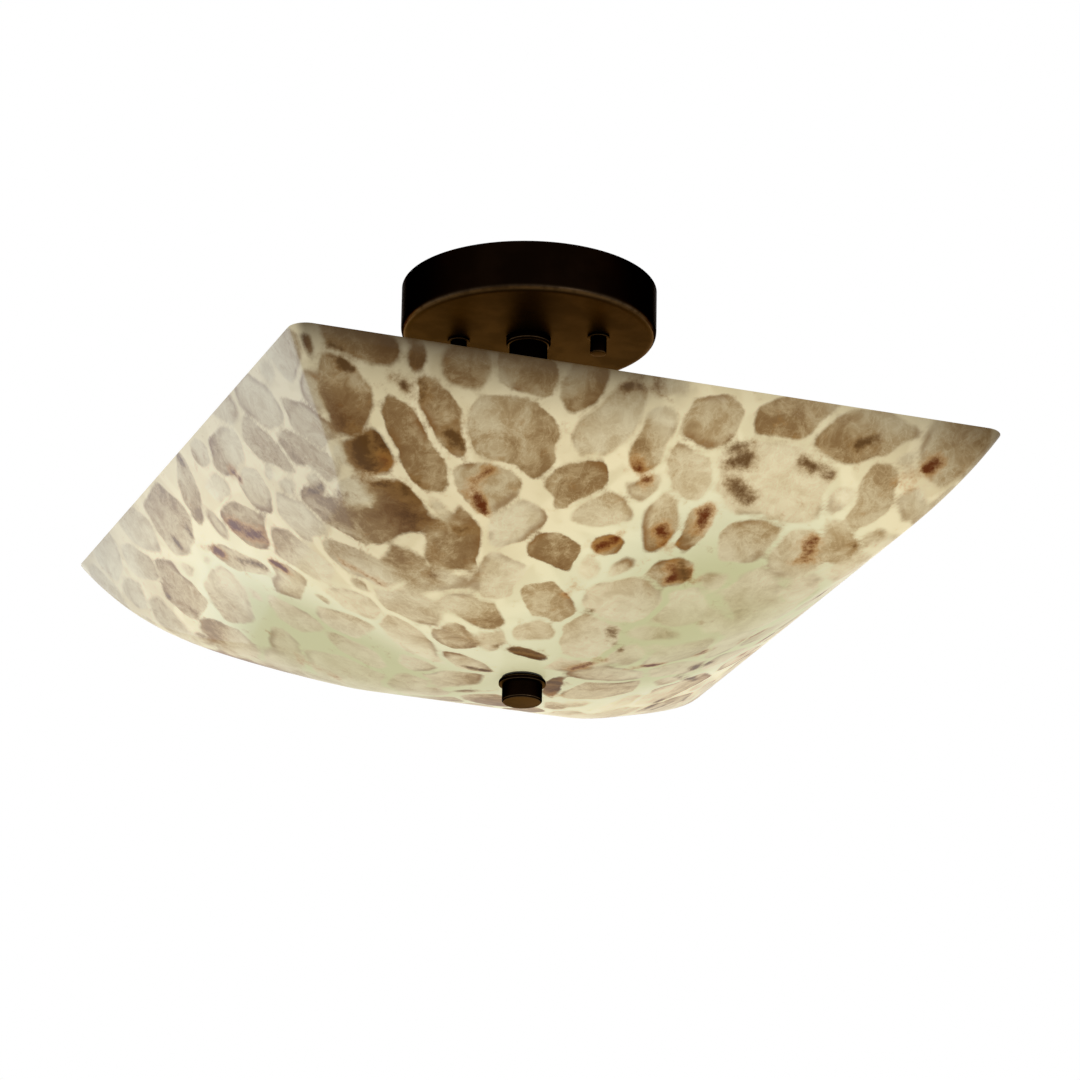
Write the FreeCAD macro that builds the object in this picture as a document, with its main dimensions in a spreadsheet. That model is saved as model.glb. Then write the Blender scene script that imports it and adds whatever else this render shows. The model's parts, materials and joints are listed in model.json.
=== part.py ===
import FreeCAD, Part
import math
import os

import Sketcher
from FreeCAD import Rotation, Vector

# Semi flush ceiling light: a square dished bowl hung under a round canopy by one
# central threaded rod, with two lamps lying back to back inside the bowl.
# Millimetres, +Z up. The origin is the centre of the ceiling face of the canopy,
# and the sides of the bowl lie along X and Y.

# Every driving dimension: name, value.
SIZES = [
    # canopy, the shallow pan against the ceiling
    ("canopy_dia", 127.0),
    ("canopy_height", 25.4),
    ("canopy_wall", 1.0),
    ("canopy_edge", 4.5),
    # crossbar, the strap screwed to the outlet box
    ("bar_end", 6.35),
    ("bar_width", 19.0),
    ("bar_thick", 2.0),
    ("bar_centre_hole", 10.4),
    ("box_spacing", 88.9),
    ("box_hole", 5.0),
    ("mount_angle", -26.5),
    ("ground_offset", 20.0),
    ("ground_dia", 4.7),
    ("ground_head", 8.0),
    ("ground_head_thick", 2.4),
    # studs and cap nuts that carry the canopy
    ("stud_spacing", 69.85),
    ("stud_dia", 4.1),
    ("stud_grip", 5.4),
    ("jam_flats", 8.7),
    ("jam_thick", 3.2),
    ("cap_washer_dia", 11.0),
    ("cap_washer_thick", 1.2),
    ("cap_nut_dia", 8.2),
    ("cap_nut_length", 8.3),
    ("cap_nut_depth", 6.4),
    ("cap_nut_round", 1.1),
    # threaded pipe that runs down the stem
    ("pipe_dia", 9.7),
    ("pipe_bore", 7.0),
    ("pipe_over", 2.4),
    ("pipe_nut_flats", 14.3),
    ("pipe_nut_thick", 4.0),
    ("lock_washer_dia", 16.0),
    ("lock_washer_thick", 0.8),
    # stem sleeve
    ("tube_dia", 19.05),
    ("tube_wall", 1.0),
    ("collar_dia", 22.2),
    ("collar_height", 4.5),
    ("collar_bevel", 1.0),
    ("spigot_depth", 2.0),
    # lamp frame, a loop of strip between the two sockets
    ("lamp_angle", -36.0),
    ("lamp_level", 138.0),
    ("frame_length", 30.0),
    ("frame_height", 34.0),
    ("frame_width", 25.0),
    ("frame_thick", 1.6),
    ("frame_bend", 3.0),
    ("frame_wire_hole", 9.0),
    # lamp sockets
    ("socket_dia", 37.0),
    ("socket_length", 36.0),
    ("socket_floor", 6.0),
    ("socket_bevel", 1.2),
    ("shell_wall", 0.5),
    ("shell_length", 25.0),
    ("shell_floor_hole", 13.0),
    ("socket_screw_spacing", 18.0),
    ("socket_screw_dia", 3.5),
    ("socket_screw_head", 5.6),
    ("socket_screw_head_thick", 1.8),
    ("contact_dia", 7.0),
    ("contact_height", 3.0),
    # lamps
    ("bulb_dia", 48.0),
    ("bulb_length", 89.0),
    ("bulb_cap_dia", 26.0),
    ("bulb_cap_end", 26.0),
    ("bulb_wall", 0.9),
    ("bulb_neck_dia", 24.0),
    ("bulb_neck_depth", 12.0),
    ("bulb_neck_end", 31.0),
    ("bulb_tip_dia", 9.6),
    ("bulb_tip_thick", 1.4),
    ("bulb_insulator_dia", 21.0),
    ("bulb_insulator_end", 4.6),
    # bowl
    ("shade_width", 356.8),
    ("shade_depth", 91.6),
    ("shade_rim_level", 112.3),
    ("shade_flat", 28.0),
    ("shade_wall", 5.5),
    ("shade_ridge", 7.0),
    ("shade_rim_round", 0.8),
    ("shade_hole", 11.6),
    # stack that clamps the bowl to the rod
    ("seat_nut_thick", 4.0),
    ("seat_washer_dia", 25.4),
    ("seat_washer_thick", 1.2),
    ("upper_gasket_dia", 26.0),
    ("upper_gasket_thick", 1.5),
    ("lower_gasket_dia", 20.0),
    ("lower_gasket_thick", 0.8),
    ("rod_grip", 5.8),
    # finial
    ("flange_dia", 23.0),
    ("flange_thick", 3.0),
    ("flange_bevel", 1.2),
    ("knob_dia", 19.6),
    ("knob_length", 9.0),
    ("knob_depth", 6.6),
    ("knob_edge", 0.8),
    # clearances, all on the radius
    ("thread_gap", 0.05),
    ("slip_gap", 0.08),
    ("hole_gap", 0.35),
]

doc = FreeCAD.newDocument("SemiFlushLight")
sheet = doc.addObject("Spreadsheet::Sheet", "Sizes")
pieces = []


class Size:
    """A length or angle that knows its value and the sheet expression behind it."""

    def __init__(self, value, text):
        self.value = value
        self.text = text

    def join(self, other, sign, value):
        return Size(value, "(%s %s %s)" % (self.text, sign, as_size(other).text))

    def __add__(self, other):
        return self.join(other, "+", self.value + as_size(other).value)

    def __sub__(self, other):
        return self.join(other, "-", self.value - as_size(other).value)

    def __mul__(self, other):
        return self.join(other, "*", self.value * as_size(other).value)

    def __truediv__(self, other):
        return self.join(other, "/", self.value / as_size(other).value)

    def __neg__(self):
        return Size(-self.value, "(0 - %s)" % self.text)


def as_size(number):
    """Plain numbers take part in the arithmetic as they are."""
    if isinstance(number, Size):
        return number
    return Size(float(number), repr(float(number)))


def cosine(angle):
    return Size(math.cos(math.radians(angle.value)), "cos(%s * 1deg)" % angle.text)


def sine(angle):
    return Size(math.sin(math.radians(angle.value)), "sin(%s * 1deg)" % angle.text)


def fill_sheet():
    """Writes the sizes into the sheet and returns them by name."""
    table = {}
    for row, (name, value) in enumerate(SIZES, start=1):
        sheet.set("A%d" % row, name)
        sheet.set("B%d" % row, str(value))
        sheet.setAlias("B%d" % row, name)
        table[name] = Size(value, "Sizes.%s" % name)
    doc.recompute()
    return table


S = fill_sheet()


# --- drawing helpers ---------------------------------------------------------

def new_body(name):
    body = doc.addObject("PartDesign::Body", name)
    body.Label = name
    body.AllowCompound = True
    pieces.append(body)
    return body


def place(body, x=0, y=0, z=0, turn=0):
    """Puts the body at (x, y, z), turned about the vertical."""
    body.Placement = FreeCAD.Placement(Vector(0, 0, 0), Rotation(Vector(0, 0, 1), 1))
    for axis, where in (("x", x), ("y", y), ("z", z)):
        body.setExpression("Placement.Base.%s" % axis, as_size(where).text)
    body.setExpression("Placement.Rotation.Angle", as_size(turn).text)


def new_sketch(body, name, plane, lift=0):
    """Opens a sketch on one of the body's own planes, lifted along its normal."""
    sketch = body.newObject("Sketcher::SketchObject", name)
    roles = {item.Role: item for item in body.Origin.OriginFeatures}
    sketch.AttachmentSupport = [(roles[plane], "")]
    sketch.MapMode = "FlatFace"
    sketch.setExpression("AttachmentOffset.Base.z", as_size(lift).text)
    return sketch


def bind(sketch, constraint, size):
    """Adds one dimension to the sketch and ties it to the sheet."""
    index = sketch.addConstraint(constraint)
    sketch.setExpression("Constraints[%d]" % index, as_size(size).text)


def fix_point(sketch, geometry, end, x, y):
    """Dimensions a point from the sketch origin."""
    for kind, size, axis in (("DistanceX", x, -2), ("DistanceY", y, -1)):
        if as_size(size).value == 0:
            sketch.addConstraint(Sketcher.Constraint("PointOnObject", geometry, end, axis))
        else:
            value = as_size(size).value
            bind(sketch, Sketcher.Constraint(kind, -1, 1, geometry, end, value), size)


def arc_between(start, end, radius, side):
    """Arc from start to end; side +1 bulges to the right of the way there."""
    chord = end - start
    middle = (start + end) * 0.5
    normal = Vector(chord.y, -chord.x, 0)
    normal.normalize()
    rise = radius - math.sqrt(radius ** 2 - (chord.Length / 2) ** 2)
    return Part.Arc(start, middle + normal * (rise * side), end)


def draw(sketch, corners):
    """Draws a closed outline through the corners.

    Each corner is (x, y), or (x, y, radius, side) where the edge that leaves it
    is an arc of that radius.
    """
    points = [Vector(as_size(c[0]).value, as_size(c[1]).value, 0) for c in corners]
    edges = []
    for number, corner in enumerate(corners):
        start = points[number]
        end = points[(number + 1) % len(points)]
        if len(corner) == 2:
            edges.append(sketch.addGeometry(Part.LineSegment(start, end), False))
            continue
        arc = arc_between(start, end, corner[2].value, corner[3])
        edges.append(sketch.addGeometry(arc, False))
    ends = [near_end(sketch, edge, point) for edge, point in zip(edges, points)]
    for number, edge in enumerate(edges):
        after = (number + 1) % len(edges)
        sketch.addConstraint(Sketcher.Constraint(
            "Coincident", edge, 3 - ends[number], edges[after], ends[after]))
    for number, corner in enumerate(corners):
        fix_point(sketch, edges[number], ends[number], corner[0], corner[1])
        if len(corner) > 2:
            bind(sketch, Sketcher.Constraint("Radius", edges[number], corner[2].value),
                 corner[2])
    return edges


def near_end(sketch, edge, point):
    """Which end of the edge, 1 or 2, lies at the point."""
    first = sketch.getPoint(edge, 1).distanceToPoint(point)
    second = sketch.getPoint(edge, 2).distanceToPoint(point)
    return 1 if first < second else 2


def draw_circle(sketch, diameter, x=0, y=0):
    centre = Vector(as_size(x).value, as_size(y).value, 0)
    circle = Part.Circle(centre, Vector(0, 0, 1), diameter.value / 2)
    index = sketch.addGeometry(circle, False)
    bind(sketch, Sketcher.Constraint("Radius", index, diameter.value / 2), diameter / 2)
    fix_point(sketch, index, 3, x, y)


def draw_hexagon(sketch, flats, x=0):
    """A hexagon, flats to left and right, centred at (x, 0)."""
    half = flats / 2
    reach = flats / math.sqrt(3)
    x = as_size(x)
    draw(sketch, [(x + half, reach / 2), (x + half, -(reach / 2)), (x, -reach),
                  (x - half, -(reach / 2)), (x - half, reach / 2), (x, reach)])


def revolve(body, corners, about="V_Axis", plane="XZ_Plane", name="turning"):
    sketch = new_sketch(body, name + "_outline", plane)
    draw(sketch, corners)
    solid = body.newObject("PartDesign::Revolution", name)
    solid.Profile = sketch
    solid.ReferenceAxis = (sketch, [about])
    solid.Angle = 360.0
    doc.recompute()
    return solid


def turned(name, corners):
    """A piece turned about the vertical: corners are (radius, height)."""
    body = new_body(name)
    revolve(body, corners)
    return body


def turned_on_lamp_axis(name, corners):
    """A piece turned about X: corners are (distance along X, radius)."""
    body = new_body(name)
    revolve(body, corners, "H_Axis", "XY_Plane")
    return body


def pad(body, sketch, length, both_ways=False, name="pad"):
    feature = body.newObject("PartDesign::Pad", name)
    feature.Profile = sketch
    feature.setExpression("Length", as_size(length).text)
    if both_ways:
        feature.SideType = "Symmetric"
    doc.recompute()
    return feature


def cut_through(body, sketch, name="cut"):
    """Cuts the sketch right through the body, both ways from its plane."""
    before = body.Shape.Volume
    feature = body.newObject("PartDesign::Pocket", name)
    feature.Profile = sketch
    feature.Type = "ThroughAll"
    feature.SideType = "Symmetric"
    doc.recompute()
    if not feature.Shape.Volume < before:
        raise RuntimeError("%s removed nothing from %s" % (name, body.Label))
    return feature


def edges_where(shape, test):
    """Names of the edges whose ends and sampled points all pass the test."""
    found = []
    for number, edge in enumerate(shape.Edges, start=1):
        if not all(test(corner.Point) for corner in edge.Vertexes):
            continue
        if all(test(point) for point in edge.discretize(Number=5)):
            found.append("Edge%d" % number)
    return found


def on_ring(radius, height):
    """Test for points at this radius from the vertical axis and this height."""
    def test(point):
        away = math.hypot(point.x, point.y) - as_size(radius).value
        return abs(away) < 0.001 and abs(point.z - as_size(height).value) < 0.001
    return test


def round_edges(body, test, radius, kind="Fillet", name="round"):
    base = body.Tip
    names = edges_where(base.Shape, test)
    if not names:
        raise RuntimeError("no edges to work on %s" % body.Label)
    feature = body.newObject("PartDesign::%s" % kind, name)
    feature.Base = (base, names)
    feature.setExpression("Size" if kind == "Chamfer" else "Radius", as_size(radius).text)
    doc.recompute()
    return feature


def twin(body, feature, name="twin"):
    """Repeats a feature half a turn round the vertical axis."""
    pattern = body.newObject("PartDesign::PolarPattern", name)
    pattern.Originals = [feature]
    roles = {item.Role: item for item in body.Origin.OriginFeatures}
    pattern.Axis = (roles["Z_Axis"], [""])
    pattern.Angle = 360.0
    pattern.Occurrences = 2
    body.Tip = pattern
    doc.recompute()
    return pattern


def ring(name, outer, inner, thick):
    """A flat washer from height 0 down by its thickness."""
    return turned(name, [(inner / 2, 0), (outer / 2, 0),
                         (outer / 2, -thick), (inner / 2, -thick)])


def hex_nut(body, flats, thick, bore, x=0, lift=0, name="nut"):
    """A plain hex nut standing on height lift, x away from the axis."""
    sketch = new_sketch(body, name + "_outline", "XY_Plane", lift)
    draw_hexagon(sketch, flats, x)
    draw_circle(sketch, bore, x)
    return pad(body, sketch, thick, name=name)


def bore_for(diameter, gap="thread_gap"):
    """Bore that takes a round piece of this diameter with the named clearance."""
    return diameter + S[gap] * 2


# --- ceiling end -------------------------------------------------------------

def crossbar():
    """Flat strap with round ends; its top face lies on the outlet box."""
    body = new_body("crossbar")
    length = S["box_spacing"] + S["bar_end"] * 2
    half = S["bar_width"] / 2
    outline = new_sketch(body, "strap_outline", "XY_Plane", -S["bar_thick"])
    draw_slot(outline, length / 2 - half, half)
    pad(body, outline, S["bar_thick"], name="strap")
    holes = new_sketch(body, "middle_holes", "XY_Plane")
    draw_circle(holes, S["bar_centre_hole"])
    draw_circle(holes, bore_for(S["ground_dia"]), S["ground_offset"])
    for side in (1, -1):
        draw_circle(holes, bore_for(S["stud_dia"]), S["stud_spacing"] / 2 * side)
        draw_circle(holes, S["box_hole"], S["box_spacing"] / 2 * side)
    cut_through(body, holes, "holes")
    place(body, turn=S["mount_angle"])


def draw_slot(sketch, straight, half):
    """Outline with two straight sides and two round ends."""
    bow = half * 1.0000001
    return draw(sketch, [(straight, -half, bow, 1), (straight, half),
                         (-straight, half, bow, 1), (-straight, -half)])


def ground_screw():
    """Pan headed screw, head below the strap."""
    top = S["ground_dia"] / 2
    under = -S["bar_thick"]
    head = S["ground_head"] / 2
    body = turned("ground_screw", [
        (0, 0), (top, 0), (top, under), (head, under),
        (head, under - S["ground_head_thick"]), (0, under - S["ground_head_thick"])])
    round_edges(body, on_ring(head, under - S["ground_head_thick"]),
                S["ground_head_thick"] / 3, "Chamfer")
    x = S["ground_offset"] * cosine(S["mount_angle"])
    y = S["ground_offset"] * sine(S["mount_angle"])
    place(body, x, y, 0, S["mount_angle"])


def studs():
    """Two threaded studs, screwed flush into the strap."""
    body = new_body("canopy_studs")
    length = S["canopy_height"] + S["cap_washer_thick"] + S["stud_grip"]
    sketch = new_sketch(body, "stud_outline", "XY_Plane", -length)
    draw_circle(sketch, S["stud_dia"], S["stud_spacing"] / 2)
    twin(body, pad(body, sketch, length, name="stud"))
    place(body, turn=S["mount_angle"])
    nuts = new_body("stud_jam_nuts")
    under = -(S["bar_thick"] + S["jam_thick"])
    nut = hex_nut(nuts, S["jam_flats"], S["jam_thick"], bore_for(S["stud_dia"]),
                  S["stud_spacing"] / 2, under)
    twin(nuts, nut)
    place(nuts, turn=S["mount_angle"])


def canopy():
    """Pressed pan, open to the ceiling, with a rounded lower edge."""
    outer = S["canopy_dia"] / 2
    inner = outer - S["canopy_wall"]
    floor = -S["canopy_height"]
    inside = floor + S["canopy_wall"]
    hole = S["pipe_dia"] / 2 + S["hole_gap"]
    body = turned("canopy", [
        (inner, 0), (outer, 0), (outer, floor), (hole, floor), (hole, inside),
        (inner, inside)])
    round_edges(body, on_ring(outer, floor), S["canopy_edge"], name="outer_round")
    round_edges(body, on_ring(inner, inside), S["canopy_edge"] - S["canopy_wall"],
                name="inner_round")
    holes = new_sketch(body, "stud_holes", "XY_Plane")
    for side in (1, -1):
        draw_circle(holes, bore_for(S["stud_dia"], "hole_gap"), S["stud_spacing"] / 2 * side)
    cut_through(body, holes, "stud_holes_cut")
    place(body, turn=S["mount_angle"])


def cap_nuts():
    """A washer and a round blind nut under the canopy on each stud."""
    under = -S["canopy_height"]
    for letter, half_turn in (("a", 0), ("b", 180)):
        line = S["mount_angle"] + half_turn
        x = S["stud_spacing"] / 2 * cosine(line)
        y = S["stud_spacing"] / 2 * sine(line)
        washer = ring("cap_nut_washer_" + letter, S["cap_washer_dia"],
                      bore_for(S["stud_dia"], "slip_gap"), S["cap_washer_thick"])
        place(washer, x, y, under, line)
        nut = cap_nut("cap_nut_" + letter)
        place(nut, x, y, under - S["cap_washer_thick"], line)


def cap_nut(name):
    outer = S["cap_nut_dia"] / 2
    bore = S["stud_dia"] / 2 + S["thread_gap"]
    end = -S["cap_nut_length"]
    body = turned(name, [(bore, 0), (outer, 0), (outer, end), (0, end),
                         (0, -S["cap_nut_depth"]), (bore, -S["cap_nut_depth"])])
    round_edges(body, on_ring(outer, end), S["cap_nut_round"])
    return body


# --- stem --------------------------------------------------------------------

FLOOR_INSIDE = S["canopy_wall"] - S["canopy_height"]
FRAME_TOP = S["frame_height"] / 2 - S["lamp_level"]
FRAME_FOOT = -(S["frame_height"] / 2) - S["lamp_level"]
RIM = -S["shade_rim_level"]
BOWL_UNDER = RIM - S["shade_depth"]
BOWL_FLOOR = BOWL_UNDER + S["shade_wall"]


def pipe(name, top, foot):
    """Hollow threaded pipe from height top down to height foot."""
    body = turned(name, [
        (S["pipe_bore"] / 2, 0), (S["pipe_dia"] / 2, 0),
        (S["pipe_dia"] / 2, foot - top), (S["pipe_bore"] / 2, foot - top)])
    place(body, z=top, turn=S["lamp_angle"])
    return body


def pipe_nut(name, under, thick=S["pipe_nut_thick"]):
    body = new_body(name)
    hex_nut(body, S["pipe_nut_flats"], thick, bore_for(S["pipe_dia"]))
    place(body, z=under, turn=S["lamp_angle"])
    return body


def stem():
    """Pipe, locknut and washer in the canopy, and the sleeve below it."""
    washer_top = FLOOR_INSIDE + S["lock_washer_thick"]
    nut_top = washer_top + S["pipe_nut_thick"]
    inside_frame = FRAME_TOP - S["frame_thick"]
    nut_under = inside_frame - S["pipe_nut_thick"]
    washer = ring("canopy_lock_washer", S["lock_washer_dia"], bore_for(S["pipe_dia"], "slip_gap"),
                  S["lock_washer_thick"])
    place(washer, z=washer_top)
    pipe_nut("canopy_locknut", washer_top)
    pipe("stem_pipe", nut_top + S["pipe_over"], nut_under - S["pipe_over"])
    pipe_nut("frame_upper_nut", nut_under)
    sleeve_top = -(S["canopy_height"] + S["collar_height"])
    sleeve_foot = FRAME_TOP + S["collar_height"]
    place(collar("stem_collar", -1), z=-S["canopy_height"])
    sleeve = ring("stem_tube", S["tube_dia"], S["tube_dia"] - S["tube_wall"] * 2,
                  sleeve_top - sleeve_foot)
    place(sleeve, z=sleeve_top)
    place(collar("stem_foot", 1), z=FRAME_TOP)


def collar(name, way):
    """Turned collar with a bevelled edge and a spigot that centres the sleeve."""
    bore = S["pipe_dia"] / 2 + S["slip_gap"]
    outer = S["collar_dia"] / 2
    spigot = S["tube_dia"] / 2 - S["tube_wall"] - S["slip_gap"]
    face = S["collar_height"] * way
    end = (S["collar_height"] + S["spigot_depth"]) * way
    bevel = S["collar_bevel"]
    return turned(name, [(bore, 0), (outer, 0), (outer, face - bevel * way),
                         (outer - bevel, face), (spigot, face), (spigot, end), (bore, end)])


def lamp_frame():
    """Loop of steel strip; the stem enters above, the rod leaves below."""
    body = new_body("lamp_frame")
    sketch = new_sketch(body, "strip_outline", "XZ_Plane")
    draw(sketch, box_corners(S["frame_length"], S["frame_height"]))
    draw(sketch, box_corners(S["frame_length"] - S["frame_thick"] * 2,
                             S["frame_height"] - S["frame_thick"] * 2))
    pad(body, sketch, S["frame_width"], True, "strip")
    upright = [(S["frame_length"] / 2, S["frame_height"] / 2, S["frame_bend"]),
               (S["frame_length"] / 2 - S["frame_thick"],
                S["frame_height"] / 2 - S["frame_thick"], S["frame_bend"] - S["frame_thick"])]
    for number, (x, z, radius) in enumerate(upright):
        round_edges(body, at_corner(x, z), radius, name="bend_%d" % number)
    down = new_sketch(body, "pipe_holes", "XY_Plane")
    draw_circle(down, bore_for(S["pipe_dia"], "slip_gap"))
    cut_through(body, down, "pipe_holes_cut")
    across = new_sketch(body, "socket_holes", "YZ_Plane")
    draw_circle(across, S["frame_wire_hole"])
    for side in (1, -1):
        draw_circle(across, bore_for(S["socket_screw_dia"]), 0,
                    S["socket_screw_spacing"] / 2 * side)
    cut_through(body, across, "socket_holes_cut")
    place(body, z=-S["lamp_level"], turn=S["lamp_angle"])


def box_corners(length, height):
    x = length / 2
    y = height / 2
    return [(x, y), (x, -y), (-x, -y), (-x, y)]


def at_corner(x, z):
    """Test for the four edges along Y at (+-x, +-z)."""
    def test(point):
        return abs(abs(point.x) - x.value) < 0.001 and abs(abs(point.z) - z.value) < 0.001
    return test


# --- sockets and lamps -------------------------------------------------------

SOCKET_BACK = S["frame_length"] / 2
SOCKET_SEAT = SOCKET_BACK + S["socket_floor"]
SHELL_BORE = bore_for(S["bulb_cap_dia"]) / 2
SHELL_OUTER = SHELL_BORE + S["shell_wall"]
LAMP_TIP = SOCKET_SEAT + S["contact_height"]


def lamp_side(letter, half_turn):
    """One socket with its fittings, and the lamp screwed into it."""
    turn = S["lamp_angle"] + half_turn
    rigid = [socket_body("socket_body_" + letter), screw_shell("screw_shell_" + letter),
             centre_contact("centre_contact_" + letter),
             socket_screws("socket_screws_" + letter),
             bulb_contact("bulb_contact_" + letter),
             bulb_insulator("bulb_insulator_" + letter), bulb_cap("bulb_cap_" + letter),
             bulb_glass("bulb_glass_" + letter)]
    for body in rigid:
        place(body, z=-S["lamp_level"], turn=turn)


def socket_body(name):
    """Moulded cup, closed at the back but for the screw and contact holes."""
    outer = S["socket_dia"] / 2
    bore = SHELL_OUTER + S["slip_gap"]
    front = SOCKET_BACK + S["socket_length"]
    bevel = S["socket_bevel"]
    body = turned_on_lamp_axis(name, [
        (SOCKET_BACK, 0), (SOCKET_BACK, outer - bevel), (SOCKET_BACK + bevel, outer),
        (front - bevel, outer), (front, outer - bevel), (front, bore),
        (SOCKET_SEAT, bore), (SOCKET_SEAT, 0)])
    holes = new_sketch(body, "screw_holes", "YZ_Plane")
    for side in (1, -1):
        draw_circle(holes, bore_for(S["socket_screw_dia"], "slip_gap"), 0,
                    S["socket_screw_spacing"] / 2 * side)
    cut_through(body, holes, "screw_holes_cut")
    return body


def on_lamp_ring(radius, x):
    """Test for points at this radius from the X axis and this distance along it."""
    def test(point):
        away = math.hypot(point.y, point.z) - as_size(radius).value
        return abs(away) < 0.001 and abs(point.x - as_size(x).value) < 0.001
    return test


def screw_shell(name):
    """Thin shell that the lamp cap screws into, with a floor under the screws."""
    floor = SOCKET_SEAT + S["shell_wall"]
    end = SOCKET_SEAT + S["shell_length"]
    hole = S["shell_floor_hole"] / 2
    body = turned_on_lamp_axis(name, [
        (SOCKET_SEAT, hole), (SOCKET_SEAT, SHELL_OUTER), (end, SHELL_OUTER),
        (end, SHELL_BORE), (floor, SHELL_BORE), (floor, hole)])
    holes = new_sketch(body, "screw_holes", "YZ_Plane")
    for side in (1, -1):
        draw_circle(holes, bore_for(S["socket_screw_dia"], "slip_gap"), 0,
                    S["socket_screw_spacing"] / 2 * side)
    cut_through(body, holes, "screw_holes_cut")
    return body


def centre_contact(name):
    """Domed contact stud on the middle of the socket floor."""
    radius = S["contact_dia"] / 2
    body = turned_on_lamp_axis(name, [
        (SOCKET_SEAT, 0), (SOCKET_SEAT, radius), (LAMP_TIP, radius), (LAMP_TIP, 0)])
    round_edges(body, on_lamp_ring(radius, LAMP_TIP), S["contact_height"] / 3, "Chamfer")
    return body


def socket_screws(name):
    """Two pan headed screws through the socket floor into the frame."""
    body = new_body(name)
    seat = SOCKET_SEAT + S["shell_wall"]
    start = SOCKET_BACK - S["frame_thick"]
    height = S["socket_screw_spacing"] / 2
    shank = new_sketch(body, "shank_outline", "YZ_Plane", start)
    head = new_sketch(body, "head_outline", "YZ_Plane", seat)
    for side in (1, -1):
        draw_circle(shank, S["socket_screw_dia"], 0, height * side)
        draw_circle(head, S["socket_screw_head"], 0, height * side)
    pad(body, shank, seat - start, name="shanks")
    pad(body, head, S["socket_screw_head_thick"], name="heads")
    return body


def bulb_contact(name):
    radius = S["bulb_tip_dia"] / 2
    end = LAMP_TIP + S["bulb_tip_thick"]
    return turned_on_lamp_axis(name, [
        (LAMP_TIP, 0), (LAMP_TIP, radius), (end, radius), (end, 0)])


def bulb_insulator(name):
    """Black glass cone between the contact and the screw cap."""
    start = LAMP_TIP + S["bulb_tip_thick"]
    end = LAMP_TIP + S["bulb_insulator_end"]
    return turned_on_lamp_axis(name, [
        (start, 0), (start, S["bulb_tip_dia"] / 2), (end, S["bulb_insulator_dia"] / 2),
        (end, 0)])


def bulb_cap(name):
    """Hollow screw cap of the lamp, tapered in to the insulator."""
    start = LAMP_TIP + S["bulb_insulator_end"]
    end = LAMP_TIP + S["bulb_cap_end"]
    radius = S["bulb_cap_dia"] / 2
    bore = S["bulb_neck_dia"] / 2 + S["slip_gap"]
    mouth = S["bulb_insulator_dia"] / 2
    lead = radius - mouth
    wall = radius - bore
    return turned_on_lamp_axis(name, [
        (start, mouth - wall), (start, mouth), (start + lead, radius), (end, radius),
        (end, bore), (start + lead, bore), (start + wall, mouth - wall)])


def bulb_glass(name):
    """Thin round envelope that runs on through a cone to the neck in the cap."""
    start = LAMP_TIP + S["bulb_cap_end"] - S["bulb_neck_depth"]
    neck_end = LAMP_TIP + S["bulb_neck_end"]
    neck = S["bulb_neck_dia"] / 2
    big = S["bulb_dia"] / 2
    wall = S["bulb_wall"]
    centre = LAMP_TIP + S["bulb_length"] - big
    back, rise = touch_point(centre - neck_end, neck, big)
    inner_back, inner_rise = touch_point(centre - neck_end, neck - wall, big - wall)
    return turned_on_lamp_axis(name, [
        (start, neck - wall), (start, neck), (neck_end, neck),
        (centre - back, rise, big, -1), (centre + big, 0),
        (centre + big - wall, 0, big - wall, 1), (centre - inner_back, inner_rise),
        (neck_end, neck - wall)])


def touch_point(reach, neck, big):
    """Where the cone from the neck touches the round of the envelope.

    The end of the neck stands reach behind the centre of the round and neck out
    from its axis. The line from there to the centre and the radius to the point
    of touch form a right triangle, which gives the two angles that are added.
    """
    away = math.hypot(reach.value, neck.value)
    angle = math.acos(big.value / away) + math.atan2(neck.value, reach.value)
    text = "(acos(%s / sqrt(%s ^ 2 + %s ^ 2)) + atan(%s / %s))" % (
        big.text, reach.text, neck.text, neck.text, reach.text)
    back = Size(math.cos(angle), "cos(%s)" % text)
    rise = Size(math.sin(angle), "sin(%s)" % text)
    return big * back, big * rise


# --- bowl and finial ---------------------------------------------------------

def bowl_outline(sketch, half, flat, depth):
    """Side view of the bowl: a flat bottom and an arc up to the rim on each side."""
    radius = Size(((half.value - flat.value) ** 2 + depth.value ** 2) / (2 * depth.value),
                  "(((%s - %s) ^ 2 + %s ^ 2) / (2 * %s))"
                  % (half.text, flat.text, depth.text, depth.text))
    draw(sketch, [(-half, 0), (half, 0, radius, -1), (flat, -depth),
                  (-flat, -depth, radius, -1)])


def shade():
    """Square dished bowl: two crossed arched profiles, hollowed to a shell."""
    body = new_body("shade")
    half = S["shade_width"] / 2
    flat = S["shade_flat"] / 2
    depth = S["shade_depth"]
    front = new_sketch(body, "front_profile", "XZ_Plane")
    bowl_outline(front, half, flat, depth)
    pad(body, front, S["shade_width"], True, "arched_block")
    side = new_sketch(body, "side_profile", "YZ_Plane")
    margin = S["shade_wall"]
    draw(side, [(half + margin, margin), (half + margin, -(depth + margin)),
                (-(half + margin), -(depth + margin)), (-(half + margin), margin)])
    bowl_outline(side, half, flat, depth)
    crossed = cut_through(body, side, "cross_cut")
    hollow(body, crossed)
    round_edges(body, on_ridge(half), S["shade_ridge"], name="ridges")
    round_edges(body, at_height(0), S["shade_rim_round"], name="rim")
    hole = new_sketch(body, "rod_hole", "XY_Plane")
    draw_circle(hole, S["shade_hole"])
    cut_through(body, hole, "rod_hole_cut")
    place(body, z=RIM)


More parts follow.
